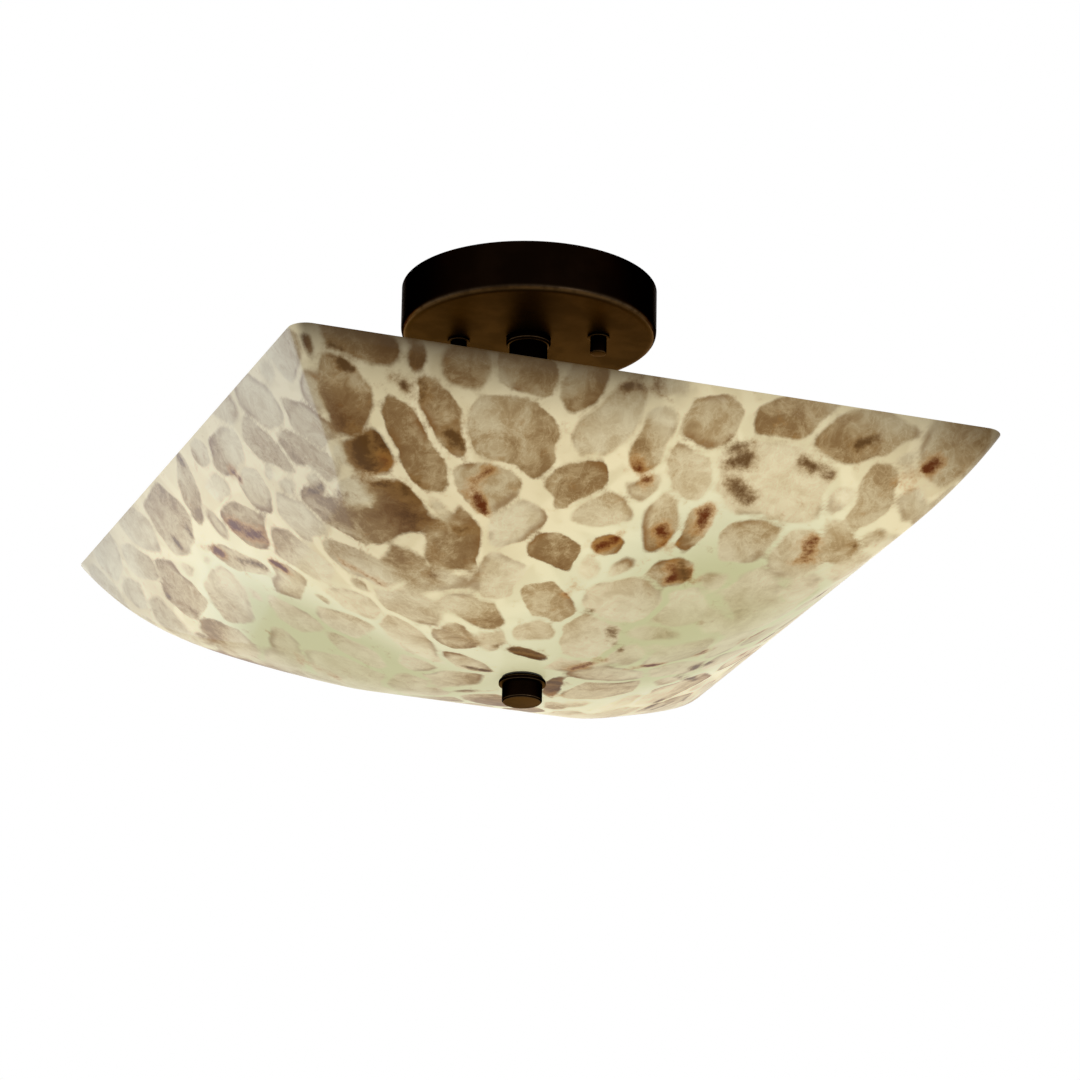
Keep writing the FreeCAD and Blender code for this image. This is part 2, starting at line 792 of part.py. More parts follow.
def hollow(body, base):
    """Opens the top of the solid and leaves the wall all round."""
    faces = ["Face%d" % number for number, face in enumerate(base.Shape.Faces, start=1)
             if abs(face.CenterOfMass.z) < 0.001]
    shell = body.newObject("PartDesign::Thickness", "shell")
    shell.Base = (base, faces)
    shell.setExpression("Value", S["shade_wall"].text)
    shell.Reversed = True
    shell.Join = "Arc"
    doc.recompute()
    return shell


def on_ridge(half):
    """Test for the four outer ridges, which start at the corners of the rim."""
    def test(point):
        radius = ((half.value - S["shade_flat"].value / 2) ** 2
                  + S["shade_depth"].value ** 2) / (2 * S["shade_depth"].value)
        run = abs(point.x) - S["shade_flat"].value / 2
        rise = point.z + S["shade_depth"].value
        onto = math.hypot(run, radius - rise) - radius
        return abs(abs(point.x) - abs(point.y)) < 0.01 and abs(onto) < 0.01 and run > -0.01
    return test


def at_height(height):
    def test(point):
        return abs(point.z - height) < 0.001
    return test


def clamp_stack():
    """Rod, nuts, washers and gaskets that grip the floor of the bowl."""
    inside = FRAME_FOOT + S["frame_thick"]
    rod_top = inside + S["pipe_nut_thick"] + S["pipe_over"]
    finial_top = BOWL_UNDER - S["lower_gasket_thick"]
    knob_top = finial_top - S["flange_thick"]
    pipe("drop_rod", rod_top, knob_top - S["rod_grip"])
    pipe_nut("frame_inner_nut", inside)
    pipe_nut("frame_lower_nut", FRAME_FOOT - S["pipe_nut_thick"])
    gasket_top = BOWL_FLOOR + S["upper_gasket_thick"]
    washer_top = gasket_top + S["seat_washer_thick"]
    bore = bore_for(S["pipe_dia"], "slip_gap")
    loose = bore_for(S["pipe_dia"], "hole_gap")
    pipe_nut("seat_nut", washer_top, S["seat_nut_thick"])
    place(ring("seat_washer", S["seat_washer_dia"], bore, S["seat_washer_thick"]), z=washer_top)
    place(ring("upper_gasket", S["upper_gasket_dia"], loose, S["upper_gasket_thick"]),
          z=gasket_top)
    place(ring("lower_gasket", S["lower_gasket_dia"], loose, S["lower_gasket_thick"]),
          z=BOWL_UNDER)
    place(finial_flange(bore), z=finial_top)
    place(finial_knob(), z=knob_top)


def finial_flange(bore):
    outer = S["flange_dia"] / 2
    bevel = S["flange_bevel"]
    thick = S["flange_thick"]
    return turned("finial_flange", [
        (bore / 2, 0), (outer - bevel, 0), (outer, -bevel), (outer, -thick), (bore / 2, -thick)])


def finial_knob():
    """Round blind nut that holds the bowl up."""
    outer = S["knob_dia"] / 2
    bore = S["pipe_dia"] / 2 + S["thread_gap"]
    end = -S["knob_length"]
    body = turned("finial_knob", [
        (bore, 0), (outer, 0), (outer, end), (0, end), (0, -S["knob_depth"]),
        (bore, -S["knob_depth"])])
    round_edges(body, on_ring(outer, end), S["knob_edge"], "Chamfer")
    return body


# --- assembly ----------------------------------------------------------------

def check_and_write():
    """Stops on any failed object or bad solid, then writes one file a piece."""
    doc.recompute()
    for item in doc.Objects:
        if {"Invalid", "Error"} & set(item.State):
            raise RuntimeError("%s did not build: %s" % (item.Label, item.State))
    for body in pieces:
        if body.Shape.isNull() or not body.Shape.isValid():
            raise RuntimeError("%s has no valid shape" % body.Label)
    os.makedirs("parts", exist_ok=True)
    for body in pieces:
        body.Shape.exportStep(os.path.join("parts", body.Label + ".step"))
        print("%-22s %10.1f mm3" % (body.Label, body.Shape.Volume))


crossbar()
ground_screw()
studs()
canopy()
cap_nuts()
stem()
lamp_frame()
lamp_side("a", 0)
lamp_side("b", 180)
shade()
clamp_stack()
check_and_write()
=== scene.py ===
import json
import math

import bmesh
import bpy
import numpy as np
from mathutils import Matrix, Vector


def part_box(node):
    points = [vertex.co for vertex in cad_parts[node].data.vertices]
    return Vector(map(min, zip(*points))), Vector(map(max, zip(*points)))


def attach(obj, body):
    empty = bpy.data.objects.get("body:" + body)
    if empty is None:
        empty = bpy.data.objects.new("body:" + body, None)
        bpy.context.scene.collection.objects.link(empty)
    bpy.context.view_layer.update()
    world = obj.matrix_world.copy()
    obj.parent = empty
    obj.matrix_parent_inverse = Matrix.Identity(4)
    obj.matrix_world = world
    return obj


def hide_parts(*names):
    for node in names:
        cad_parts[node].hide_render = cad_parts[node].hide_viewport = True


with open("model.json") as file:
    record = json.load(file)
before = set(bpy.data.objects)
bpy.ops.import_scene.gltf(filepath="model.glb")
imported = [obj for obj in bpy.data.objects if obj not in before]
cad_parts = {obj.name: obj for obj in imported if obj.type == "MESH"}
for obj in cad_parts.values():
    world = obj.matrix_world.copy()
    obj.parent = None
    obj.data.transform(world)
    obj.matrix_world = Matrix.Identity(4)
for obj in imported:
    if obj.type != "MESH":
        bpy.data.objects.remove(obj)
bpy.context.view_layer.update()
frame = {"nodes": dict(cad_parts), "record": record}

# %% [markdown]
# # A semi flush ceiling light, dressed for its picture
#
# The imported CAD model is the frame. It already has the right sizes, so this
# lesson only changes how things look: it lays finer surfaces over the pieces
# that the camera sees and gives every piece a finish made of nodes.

MM = 0.001
INCH = 25.4


# %% [markdown]
# ## Surfaces from grids of points
#
# Every new piece below is a grid: each row is one ring or one section, and each
# column is one place along it. Numpy works out all the points at once, and the
# faces follow from the numbers of the points, so no loop walks over vertices.
# Where a ring shrinks to one point, its copies are merged into a closed pole.

# %% Build a mesh from a grid of points
def quads_of(rows, columns, closed_rows):
    """Each face joins a point, its neighbour in the row, and the two below them.

    The columns always close into a ring. The rows close too when the last
    section meets the first one.
    """
    number = np.arange(rows * columns).reshape(rows, columns)
    beside = np.roll(number, -1, axis=1)
    below, below_beside = np.roll(number, -1, axis=0), np.roll(beside, -1, axis=0)
    quads = np.stack([number, beside, below_beside, below], axis=-1)
    return quads[: rows if closed_rows else rows - 1].reshape(-1, 4)


def in_scene(name, data):
    """A new object that shows a mesh, a lamp or a camera."""
    thing = bpy.data.objects.new(name, data)
    bpy.context.scene.collection.objects.link(thing)
    return thing


def piece_from(name, grid, body, stands_for, closed_rows=False, values=None, crease=32):
    """A finished piece from points[row, column], in millimetres, riding on a body."""
    rows, columns = grid.shape[:2]
    mesh = bpy.data.meshes.new(name)
    mesh.from_pydata((grid.reshape(-1, 3) * MM).tolist(), [],
                     quads_of(rows, columns, closed_rows).tolist())
    for label, numbers in (values or {}).items():
        layer = mesh.attributes.new(label, "FLOAT", "POINT")
        layer.data.foreach_set("value", np.broadcast_to(numbers, (rows, columns))
                               .astype(np.float32).ravel())
    work = bmesh.new()
    work.from_mesh(mesh)
    bmesh.ops.remove_doubles(work, verts=work.verts, dist=1e-7)
    bmesh.ops.recalc_face_normals(work, faces=work.faces)
    work.to_mesh(mesh)
    work.free()
    mesh.shade_smooth()
    mesh.set_sharp_from_angle(angle=math.radians(crease))
    piece = in_scene(name, mesh)
    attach(piece, body)
    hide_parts(stands_for)
    print("%-18s %6d faces on %s" % (name, len(mesh.polygons), body))
    return piece


# %% [markdown]
# ## Turned profiles
#
# Most of the metal here is turned or spun, so it is a profile swept round an
# axis. A real edge is never sharp, and the small round on it is what catches the
# light. So each corner of a profile carries its own radius and is replaced by a
# short curve. An edge value goes along with the points: it is 1 on the rounds
# and fades to 0 on the flats, and the metal finish turns lighter there, partly
# as wear and partly as a painted highlight.

# %% Round the corners of a profile and sweep it
def softened(corners, steps=6):
    """Points of a profile of (across, height, radius), each corner eased by a curve.

    The curve is a parabola: (1-t)^2 times the start, 2t(1-t) times the corner
    and t^2 times the end, where start and end lie one radius from the corner.
    A corner without a radius stays sharp.
    """
    table = np.array([(*corner, 0.0)[:3] for corner in corners], float)
    at, radius = table[:, :2], table[:, 2:3]
    before, after = np.roll(at, 1, axis=0) - at, np.roll(at, -1, axis=0) - at
    start = at + before / np.linalg.norm(before, axis=1, keepdims=True) * radius
    end = at + after / np.linalg.norm(after, axis=1, keepdims=True) * radius
    t = np.linspace(0, 1, steps)[None, :, None]
    curve = (1 - t) ** 2 * start[:, None] + 2 * t * (1 - t) * at[:, None] + t ** 2 * end[:, None]
    wear_and_glint = np.broadcast_to(np.sin(np.pi * t[..., 0]) * (radius > 0), curve.shape[:2])
    return curve.reshape(-1, 2), wear_and_glint.reshape(-1)


def full_turn(steps):
    """Angles of one full turn, as a row, without the last one that equals the first."""
    return np.linspace(0, 2 * np.pi, steps, endpoint=False)[None, :]


def around(radius, height):
    """Points round the Z axis from radii[row, column] and heights[row, 1]."""
    angle = full_turn(radius.shape[1])
    return np.stack([radius * np.cos(angle), radius * np.sin(angle),
                     np.broadcast_to(height, radius.shape)], axis=-1)


def turned(name, corners, body, slot, stands_for, at=(0, 0, 0), turns=96, finer=6):
    """A turned piece from a closed profile in (across, height, radius), set at a point."""
    profile, wear_and_glint = softened(corners, finer)
    radius = np.broadcast_to(profile[:, :1], (len(profile), turns))
    return piece_from(name, around(radius, profile[:, 1:]) + np.array(at), body, stands_for,
                      closed_rows=True, values={"wear_and_glint": wear_and_glint[:, None]})


# %% [markdown]
# ## The camera
#
# The photograph looks up at the light from below and in front, from about
# three metres away through a long lens, so the sides of the square bowl stay
# nearly parallel. Distance, height, lens and turn were found by fitting the rim
# of the bowl, the outline of the canopy and the finial to the picture.

# %% Camera
FRAME_SIDE = 1080
view = {"away": 2878.8, "up": 0.37375, "side": 0.00277, "tip": -0.017, "roll": 0.01731,
        "focal": 5832.5, "turn": 0.34633, "aim": -80.0}


def camera_matrix(place):
    """Camera axes and place, worked out with the bowl turned, then turned back.

    The line of sight is (sin s cos t, cos s cos t, sin t) for a side angle s and
    a tilt t; right lies level beside it, and up is right crossed with the sight.
    """
    tilt = place["up"] + place["tip"]
    sight = np.array([math.sin(place["side"]) * math.cos(tilt),
                      math.cos(place["side"]) * math.cos(tilt), math.sin(tilt)])
    right = np.array([math.cos(place["side"]), -math.sin(place["side"]), 0.0])
    up = np.cross(right, sight)
    c, s = math.cos(place["roll"]), math.sin(place["roll"])
    axes = np.stack([c * right + s * up, -s * right + c * up, -sight], axis=1)
    eye = np.array([0, -math.cos(place["up"]), -math.sin(place["up"])]) * place["away"]
    eye[2] += place["aim"]
    c, s = math.cos(-place["turn"]), math.sin(-place["turn"])
    back = np.array([[c, -s, 0], [s, c, 0], [0, 0, 1]])
    return matrix_of(back @ axes, back @ eye * MM)


def matrix_of(axes, place):
    """The matrix whose columns are three axes and a place in metres."""
    matrix = np.eye(4)
    matrix[:3, :3], matrix[:3, 3] = axes, place
    return Matrix(matrix.tolist())


lens = bpy.data.cameras.new("studio_camera")
lens.sensor_width = 36.0
lens.lens = view["focal"] / FRAME_SIDE * lens.sensor_width
lens.clip_end = 60.0
camera = in_scene("studio_camera", lens)
camera.matrix_world = camera_matrix(view)
bpy.context.scene.camera = camera
print("camera at", [round(c, 3) for c in camera.matrix_world.translation],
      "lens", round(lens.lens, 1))

# %% [markdown]
# ## Writing node trees
#
# A finish is a small network of nodes. A few helpers keep the wiring short: one
# adds a node, sets its options and fills or links its inputs in a single call,
# and the others are built on it. A node goes into the tree that its input
# sockets belong to, so the tree is only named where a chain of nodes starts.

# %% Helpers for nodes
def fill(node, inputs):
    """Sets inputs, given by name or number: a socket is linked, a value is set."""
    for key, value in inputs.items():
        if isinstance(value, bpy.types.NodeSocket):
            node.id_data.links.new(value, node.inputs[key])
        else:
            node.inputs[key].default_value = value
    return node


def add(kind, inputs, tree=None, **options):
    """Adds a node to a tree, or else to that of its input sockets; gives its outputs."""
    tree = tree or next(v.id_data for v in inputs.values() if isinstance(v, bpy.types.NodeSocket))
    node = tree.nodes.new("ShaderNode" + kind)
    for option, value in options.items():
        setattr(node, option, value)
    return fill(node, inputs).outputs


def finish_named(name, **settings):
    """A new material and its Principled shader with plain settings."""
    material = bpy.data.materials.new(name)
    material.use_nodes = True
    shader = material.node_tree.nodes["Principled BSDF"]
    fill(shader, {key.replace("_", " "): value for key, value in settings.items()})
    return material, shader


def place_for(node):
    """The point on the object, in metres, in the frame of the CAD model."""
    return add("TexCoord", {}, node.id_data)["Object"]


def attribute(node, label):
    """The value of an attribute of the mesh, in the tree of a node."""
    return add("Attribute", {}, node.id_data, attribute_name=label)["Fac"]


def calc(operation, a, b=0.0, clamp=False):
    """One sum on two numbers, at least one of them a socket."""
    return add("Math", {0: a, 1: b}, operation=operation, use_clamp=clamp)[0]


def times(a, b, clamp=False):
    """The product of two numbers."""
    return calc("MULTIPLY", a, b, clamp)


def blend_colours(share, a, b, how="MIX"):
    """Mixes two colours; how names the way, such as MIX or MULTIPLY."""
    return add("Mix", {0: share, 6: a, 7: b}, data_type="RGBA", blend_type=how)[2]


def parts_of(colour):
    """The three numbers of a colour."""
    return add("SeparateColor", {0: colour})


def spread(value, low, high, out_low=0.0, out_high=1.0, smooth=True):
    """Maps a value from one range onto another, eased at both ends."""
    return add("MapRange", {0: value, 1: low, 2: high, 3: out_low, 4: out_high},
               interpolation_type="SMOOTHSTEP" if smooth else "LINEAR")[0]


def noise(place, scale, detail, roughness=0.5, distortion=0.0):
    """Noise of a scale per metre: output 0 is the value, Color holds three of them."""
    return add("TexNoise", {"Vector": place, "Scale": scale, "Detail": detail,
                            "Roughness": roughness, "Distortion": distortion})


def group_named(name, settings, outputs):
    """An empty shader group: a Place and the given settings in, some numbers out."""
    tree = bpy.data.node_groups.new(name, "ShaderNodeTree")
    tree.interface.new_socket("Place", in_out="INPUT", socket_type="NodeSocketVector")
    for label, value in settings.items():
        tree.interface.new_socket(label, in_out="INPUT",
                                  socket_type="NodeSocketFloat").default_value = value
    for label in outputs:
        tree.interface.new_socket(label, in_out="OUTPUT", socket_type="NodeSocketFloat")
    return tree, tree.nodes.new("NodeGroupInput").outputs, tree.nodes.new("NodeGroupOutput")


def use(group, place, **settings):
    """Uses a group at a place."""
    return add("Group", {"Place": place, **settings}, node_tree=group)


# %% [markdown]
# ## Effects that several finishes share
#
# Handling, dust and fine grain are the same on every metal piece, so each one
# is a group that is built once. Grain gives a height for a bump and a value that
# makes the gloss uneven. The edge mask takes the value of the rounds and breaks
# it up with noise, so the edges look handled and not outlined; the finishes lay
# a lighter colour there, partly wear and partly a painted highlight. Thread
# rings are the relief of a screw, one ridge for each pitch.

# %% Shared groups: fine grain, thread rings and worn edges with a painted highlight
grain, given, made = group_named("fine_grain", {"Scale": 900.0, "Patch": 40.0},
                                 ["Height", "Cloud"])
fine = noise(given["Place"], given["Scale"], 3.0, 0.6)[0]
wide = noise(given["Place"], given["Patch"], 4.0, 0.55)[0]
fill(made, {"Height": fine, "Cloud": spread(wide, 0.35, 0.65)})

rings, given, made = group_named("thread_rings", {"Pitch": 0.00094}, ["Height"])
level = add("SeparateXYZ", {0: given["Place"]})["Z"]
phase = calc("FRACT", calc("DIVIDE", level, given["Pitch"]))
fill(made, {"Height": calc("ABSOLUTE", calc("SUBTRACT", phase, 0.5))})

wear_and_highlight, given, made = group_named("worn_and_highlit_edge", {"Amount": 0.6, "Scale": 260.0}, ["Mask"])
# The rounds are marked for wear and for a painted highlight.
wear_and_glint_mask = calc("POWER", attribute(made, "wear_and_glint"), 7.0)
patchy = noise(given["Place"], given["Scale"], 4.0, 0.6)[0]
broken = times(wear_and_glint_mask, spread(patchy, 0.3, 0.6, 0.6, 1.0))
fill(made, {"Mask": times(broken, given["Amount"], clamp=True)})
print("groups:", [g.name for g in bpy.data.node_groups])


# %% A skin that every finish is built on
def grained(shader, scale, patch, gloss, bump):
    """Fine grain: gives its cloud, and sets the roughness and the bump of a shader.

    The gloss is a (least, most) roughness, and the bump is a (strength, distance).
    """
    texture = use(grain, place_for(shader), Scale=scale, Patch=patch)
    relief = add("Bump", {"Height": texture["Height"], "Strength": bump[0],
                          "Distance": bump[1]})[0]
    fill(shader, {"Roughness": spread(texture["Cloud"], 0, 1, *gloss, False), "Normal": relief})
    return texture["Cloud"], relief


# %% [markdown]
# ## The dark bronze finish
#
# The canopy, stem, cap nuts and finial are steel with a dark bronze coat, nearly
# black where nothing bright faces them and olive brown where the lit bowl
# shines on them. So the colour is very dark and warm, the shader is metallic,
# and the gloss is a soft satin that varies a little. On the rounds the colour
# turns a lighter brown in broken patches, partly wear and partly a painted
# highlight.

# %% Dark bronze
WEAR_AND_HIGHLIGHT_BROWN = (0.11, 0.07, 0.038, 1)


def dark_bronze(name, dark, slanted, gloss):
    """Coated metal: dark flats, rounds lighter by wear and painted highlight, tinted at a slant.
    """
    material, shader = finish_named(name, Metallic=1.0, Specular_Tint=slanted)
    cloud, _ = grained(shader, 1400.0, 55.0, (gloss - 0.04, gloss + 0.05), (0.06, 0.0002))
    mask = use(wear_and_highlight, place_for(shader), Amount=0.9)["Mask"]
    base = blend_colours(cloud, dark, tuple(0.7 * c for c in dark[:3]) + (1,))
    # The rounds blend to a lighter brown: partly wear, partly a painted highlight.
    fill(shader, {"Base Color": blend_colours(mask, base, WEAR_AND_HIGHLIGHT_BROWN)})
    return material


bronze = dark_bronze("bronze_coat", (0.0048, 0.0022, 0.0009, 1), (0.10, 0.06, 0.03, 1), 0.34)
# A lighter copy of the coat for faces that look down: painted light from the bowl below.
bronze_painted_lit = dark_bronze("bronze_painted_lit_underside", (0.020, 0.0105, 0.0040, 1),
                           (0.97, 0.68, 0.48, 1), 0.46)
print("finishes:", bronze.name, "and", bronze_painted_lit.name)

# %% [markdown]
# The faces that look down get a second copy of the finish, lighter brown and
# with a warm tint at a slant: painted light from the lit bowl that shines up on
# them. Those faces are found by their normals.

# %% Turned pieces in bronze
def bronzed(name, corners, body, stands_for, at=(0, 0, 0), below=-0.8, **ways):
    """A turned piece whose faces that point down get the lit copy of the finish, painted light."""
    piece = turned(name, corners, body, "dark_bronze", stands_for, at, **ways)
    piece.data.materials.append(bronze)
    piece.data.materials.append(bronze_painted_lit)
    facing = np.zeros(len(piece.data.polygons) * 3)
    piece.data.polygons.foreach_get("normal", facing)
    piece.data.polygons.foreach_set("material_index", (facing[2::3] < below).astype(np.int32))


# %% [markdown]
# ## Plated steel, brass and the small finishes
#
# Inside the canopy and the bowl the parts are plain: zinc plated steel with a
# cool cloudy sheen, brass in the sockets, a glazed socket moulding and black
# rubber gaskets. They are seen from above only, yet each one gets its grain.

# %% Plain metals
def plated(name, colour, cloudy, gloss, scale=1200.0, pitch=0.0):
    """Bare or plated metal, uneven in soft patches, with thread rings if it has a pitch."""
    material, shader = finish_named(name, Metallic=1.0)
    cloud, relief = grained(shader, scale, 120.0, (gloss, gloss + 0.14), (0.1, 0.0002))
    mask = use(wear_and_highlight, place_for(shader), Amount=0.5)["Mask"]
    base = blend_colours(cloud, (*colour, 1), (*cloudy, 1))
    bright = tuple(min(1.0, 1.25 * c) for c in colour) + (1,)
    fill(shader, {"Base Color": blend_colours(mask, base, bright)})
    if pitch:
        height = use(rings, place_for(shader), Pitch=pitch)["Height"]
        fill(shader, {"Normal": add("Bump", {
            "Height": height, "Strength": 0.8, "Distance": pitch * 0.6, "Normal": relief})[0]})
    return material


ZINC = ((0.60, 0.60, 0.58), (0.45, 0.46, 0.47), 0.28)
zinc = plated("zinc_plate", *ZINC)
stud_thread = plated("stud_thread", *ZINC, pitch=INCH * MM / 32)
brass = plated("socket_brass", (0.78, 0.57, 0.25), (0.62, 0.43, 0.18), 0.24)
cap_metal = plated("lamp_cap_metal", (0.74, 0.74, 0.73), (0.60, 0.60, 0.61), 0.22)
solder = plated("solder_drop", (0.52, 0.52, 0.50), (0.38, 0.38, 0.38), 0.42, 2500.0)
green = plated("green_dye", (0.04, 0.27, 0.10), (0.03, 0.18, 0.07), 0.34)
print("finishes:", [m.name for m in (zinc, stud_thread, brass, cap_metal, solder, green)])


# %% Mouldings and rubber
def moulded(name, colour, second, gloss, relief, scale, coat=0.0):
    """Non metal with a faint cloud in its colour and a fine skin."""
    material, shader = finish_named(name, Coat_Weight=coat, Coat_Roughness=0.12)
    cloud, _ = grained(shader, scale, 90.0, (gloss, gloss + 0.08), (relief, 0.0003))
    fill(shader, {"Base Color": blend_colours(cloud, (*colour, 1), (*second, 1))})
    return material


glaze = moulded("socket_glaze", (0.80, 0.78, 0.72), (0.74, 0.71, 0.64), 0.2, 0.05, 700.0, 0.5)
rubber = moulded("gasket_rubber", (0.030, 0.030, 0.030), (0.048, 0.047, 0.045), 0.68, 0.3, 1600.0)
black_glass = moulded("black_insulator", (0.010, 0.010, 0.012), (0.020, 0.020, 0.022), 0.1, 0.03,
                      900.0, 0.4)
print("finishes:", [m.name for m in (glaze, rubber, black_glass)])

# %% [markdown]
# ## The lamp glass
#
# The two lamps are lit. Their envelopes are frosted inside, so they glow evenly,
# and an attribute called lit lets the glow fade towards the neck, where the
# coating ends. The glow is real light in the scene: it fills the bowl and shines
# up on the underside of the canopy.

# %% Frosted lamp glass, lit
frosted, shader = finish_named("lamp_frosted", Roughness=0.32, Emission_Strength=0.7,
                               Coat_Weight=0.3)
cloud = use(grain, place_for(shader), Scale=600.0, Patch=35.0)["Cloud"]
warm = blend_colours(times(cloud, 0.3), (1.0, 0.86, 0.62, 1), (0.86, 0.72, 0.48, 1))
lit = spread(attribute(shader, "lit"), 0, 1, 0.1, 1.0)
fill(shader, {
    "Emission Color": blend_colours(lit, (0, 0, 0, 1), warm),
    "Base Color": blend_colours(cloud, (0.90, 0.88, 0.83, 1), (0.84, 0.82, 0.77, 1))})
print("finish:", frosted.name)

# %% [markdown]
# ## How the lamps light the bowl
#
# The bowl is cast from cream resin with chips of stone in it, and it glows
# because light comes through. Tracing light through such a wall is slow and
# noisy, so the light that reaches each point is worked out here from the two
# lamps: it falls with the square of the distance and with the slant of the wall.
# The result is an attribute of the mesh, and the finish multiplies it by what
# the stone lets through.

# %% Where the lamps are and how much light a point gets
LAMP_ANGLE = math.radians(-36.0)
LAMP_LEVEL, LAMP_REACH = -138.0, 84.0
FULL_LIGHT, SCATTERED = 52.0, 0.25
lamp_line = np.array([math.cos(LAMP_ANGLE), math.sin(LAMP_ANGLE), 0.0])
lamp_centres = np.array([1.0, -1.0])[:, None] * lamp_line * LAMP_REACH + [0, 0, LAMP_LEVEL]


def lamp_light(points, outward):
    """Sum over both lamps of cosine over distance squared.

    The cosine is between the wall's normal and the ray from the lamp, on either
    side of the wall, and part of it is replaced by a constant for light
    scattered in the bowl. The sum is 1 at FULL_LIGHT millimetres from one lamp.
    """
    ray = points[..., None, :] - lamp_centres
    away = np.linalg.norm(ray, axis=-1)
    slant = np.abs((ray * outward[..., None, :]).sum(-1)) / away
    return ((SCATTERED + (1 - SCATTERED) * slant) * (FULL_LIGHT / away) ** 2).sum(-1)


print("lamp centres, mm:", lamp_centres.round(1).tolist())

# %% [markdown]
# ## The bowl
#
# Seen from the side the bowl is a small flat bottom with a wide arc up to the
# rim on each side, and seen from below it is a square with soft ridges. One
# profile serves both: it is swept round rounded squares instead of circles. A
# rounded square is a small square grown outwards by its corner radius, so a
# point on it is the half width less the radius times a corner of the unit
# square, plus the radius times the direction outwards.

# %% Rounded squares
SIDE_STEPS, CORNER_STEPS = 140, 10


def unit_square():
    """Corners P and outward directions Q along one turn of the rounded square.

    On a straight side P moves evenly and Q stays square to the side. On a
    corner P stays and Q turns through a quarter of a circle.
    """
    run = np.linspace(-1, 1, SIDE_STEPS, endpoint=False)
    sweep = np.linspace(0, np.pi / 2, CORNER_STEPS, endpoint=False)
    p = np.concatenate([np.stack([np.ones(SIDE_STEPS), run], -1), np.ones((CORNER_STEPS, 2))])
    q = np.concatenate([np.tile([1.0, 0.0], (SIDE_STEPS, 1)),
                        np.stack([np.cos(sweep), np.sin(sweep)], -1)])
    quarter = np.linspace(0, 1.5 * np.pi, 4)
    turn = np.stack([np.cos(quarter), -np.sin(quarter), np.sin(quarter), np.cos(quarter)],
                    -1).round(9).reshape(4, 2, 2)
    return (np.einsum("kij,nj->kni", turn, p).reshape(-1, 2),
            np.einsum("kij,nj->kni", turn, q).reshape(-1, 2))


def round_squares(half, corner, height):
    """Grid of rings: (half - corner) times P plus corner times Q, at each height."""
    p, q = unit_square()
    flat = (half - corner)[:, None, None] * p + corner[:, None, None] * q
    level = np.broadcast_to(height[:, None, None], (*flat.shape[:2], 1))
    return np.concatenate([flat, level], axis=-1)


print("points round one ring:", len(unit_square()[0]))

# %% [markdown]
# The wall is 5.5 mm thick. The outer and inner arcs share a centre, so the wall
# keeps its thickness, and the rim is flat with small rounds. Where the arc
# meets the flat bottom the rings turn from squares into circles round the hole.
# The outside has the more points, because the stones are drawn on them.

# %% The bowl's profile
BOWL = {"half": 178.1, "depth": 91.6, "rim": -112.3, "flat": 14.0, "wall": 5.5, "hole": 5.8}
RIM_TRIM, LIP_STEPS = 0.9, 4
ARC = ((BOWL["half"] - BOWL["flat"]) ** 2 + BOWL["depth"] ** 2) / (2 * BOWL["depth"])
ARC_CENTRE = BOWL["rim"] - BOWL["depth"] + ARC


def bowl_arc(radius, steps):
    """Points up one side: flat + radius sin a across, centre - radius cos a high."""
    top = math.acos((ARC_CENTRE - BOWL["rim"]) / radius)
    angle = np.linspace(0, top - RIM_TRIM / radius, steps)
    return np.stack([BOWL["flat"] + radius * np.sin(angle),
                     ARC_CENTRE - radius * np.cos(angle)], -1)


def bowl_profile():
    """Half widths and heights from the hole, up the outside and down the inside.

    The rim's two edges lie 0.4 mm past the ends of the arcs and are eased by 0.8 mm.
    """
    outer, inner = bowl_arc(ARC, 90), bowl_arc(ARC - BOWL["wall"], 56)[::-1]
    edges = [(outer[-1, 0] + 0.45, BOWL["rim"], 0.8), (inner[0, 0] - 0.42, BOWL["rim"], 0.8)]
    lip = softened([outer[-1], *edges, inner[0]], LIP_STEPS)[0][LIP_STEPS:-LIP_STEPS]
    low, high = outer[0, 1], inner[-1, 1]
    under = np.stack([np.linspace(BOWL["hole"], BOWL["flat"], 6, endpoint=False),
                      np.full(6, low)], -1)
    floor = np.stack([np.linspace(BOWL["flat"], BOWL["hole"], 4)[1:], np.full(3, high)], -1)
    return np.concatenate([under, outer, lip, inner, floor]), len(under) + len(outer)


profile, outside_count = bowl_profile()
print("bowl profile:", len(profile), "points, widest", profile[:, 0].max().round(2))

# %% [markdown]
# The ridge between two sides is soft. At the rim and near the bottom its level
# radius is about 9 mm, and half way up it swells to nearly 40 mm, where the
# sides of a pressed bowl flow into each other. Inside the flat bottom the radius
# grows until it equals the half width, and the ring is a circle. The left side
# lies under a veil of daylight in the photograph, so its glow is dimmed by up to
# a half, which is painted shade, and it gets a shinier coat below. The light
# inside the bowl is kept in a narrow range.

# %% The bowl itself
def corner_radius(half):
    """Level radius of the ridge: 9 + 29 exp(-((a - 27) / 11)^2) for the arc angle a."""
    angle = np.degrees(np.arcsin(np.clip((half - BOWL["flat"]) / ARC, 0, 0.99)))
    ridge = 9.0 + 29.0 * np.exp(-((angle - 27.0) / 11.0) ** 2)
    circle = np.clip((BOWL["flat"] - half) / (BOWL["flat"] - BOWL["hole"]), 0, 1)
    return ridge * (1 - circle) + half * circle


def outward_of(grid):
    """Unit normals of a grid: along the column step crossed with along the row step."""
    along = np.roll(grid, -1, axis=1) - np.roll(grid, 1, axis=1)
    down = np.gradient(grid, axis=0)
    normal = np.cross(along, down)
    return normal / np.maximum(np.linalg.norm(normal, axis=-1, keepdims=True), 1e-9)


bowl_grid = round_squares(profile[:, 0], corner_radius(profile[:, 0]), profile[:, 1])
outward = outward_of(bowl_grid)
outward *= np.sign(-outward[10, 0, 2])
facing_left = np.clip(-outward[..., 0], 0, 1)
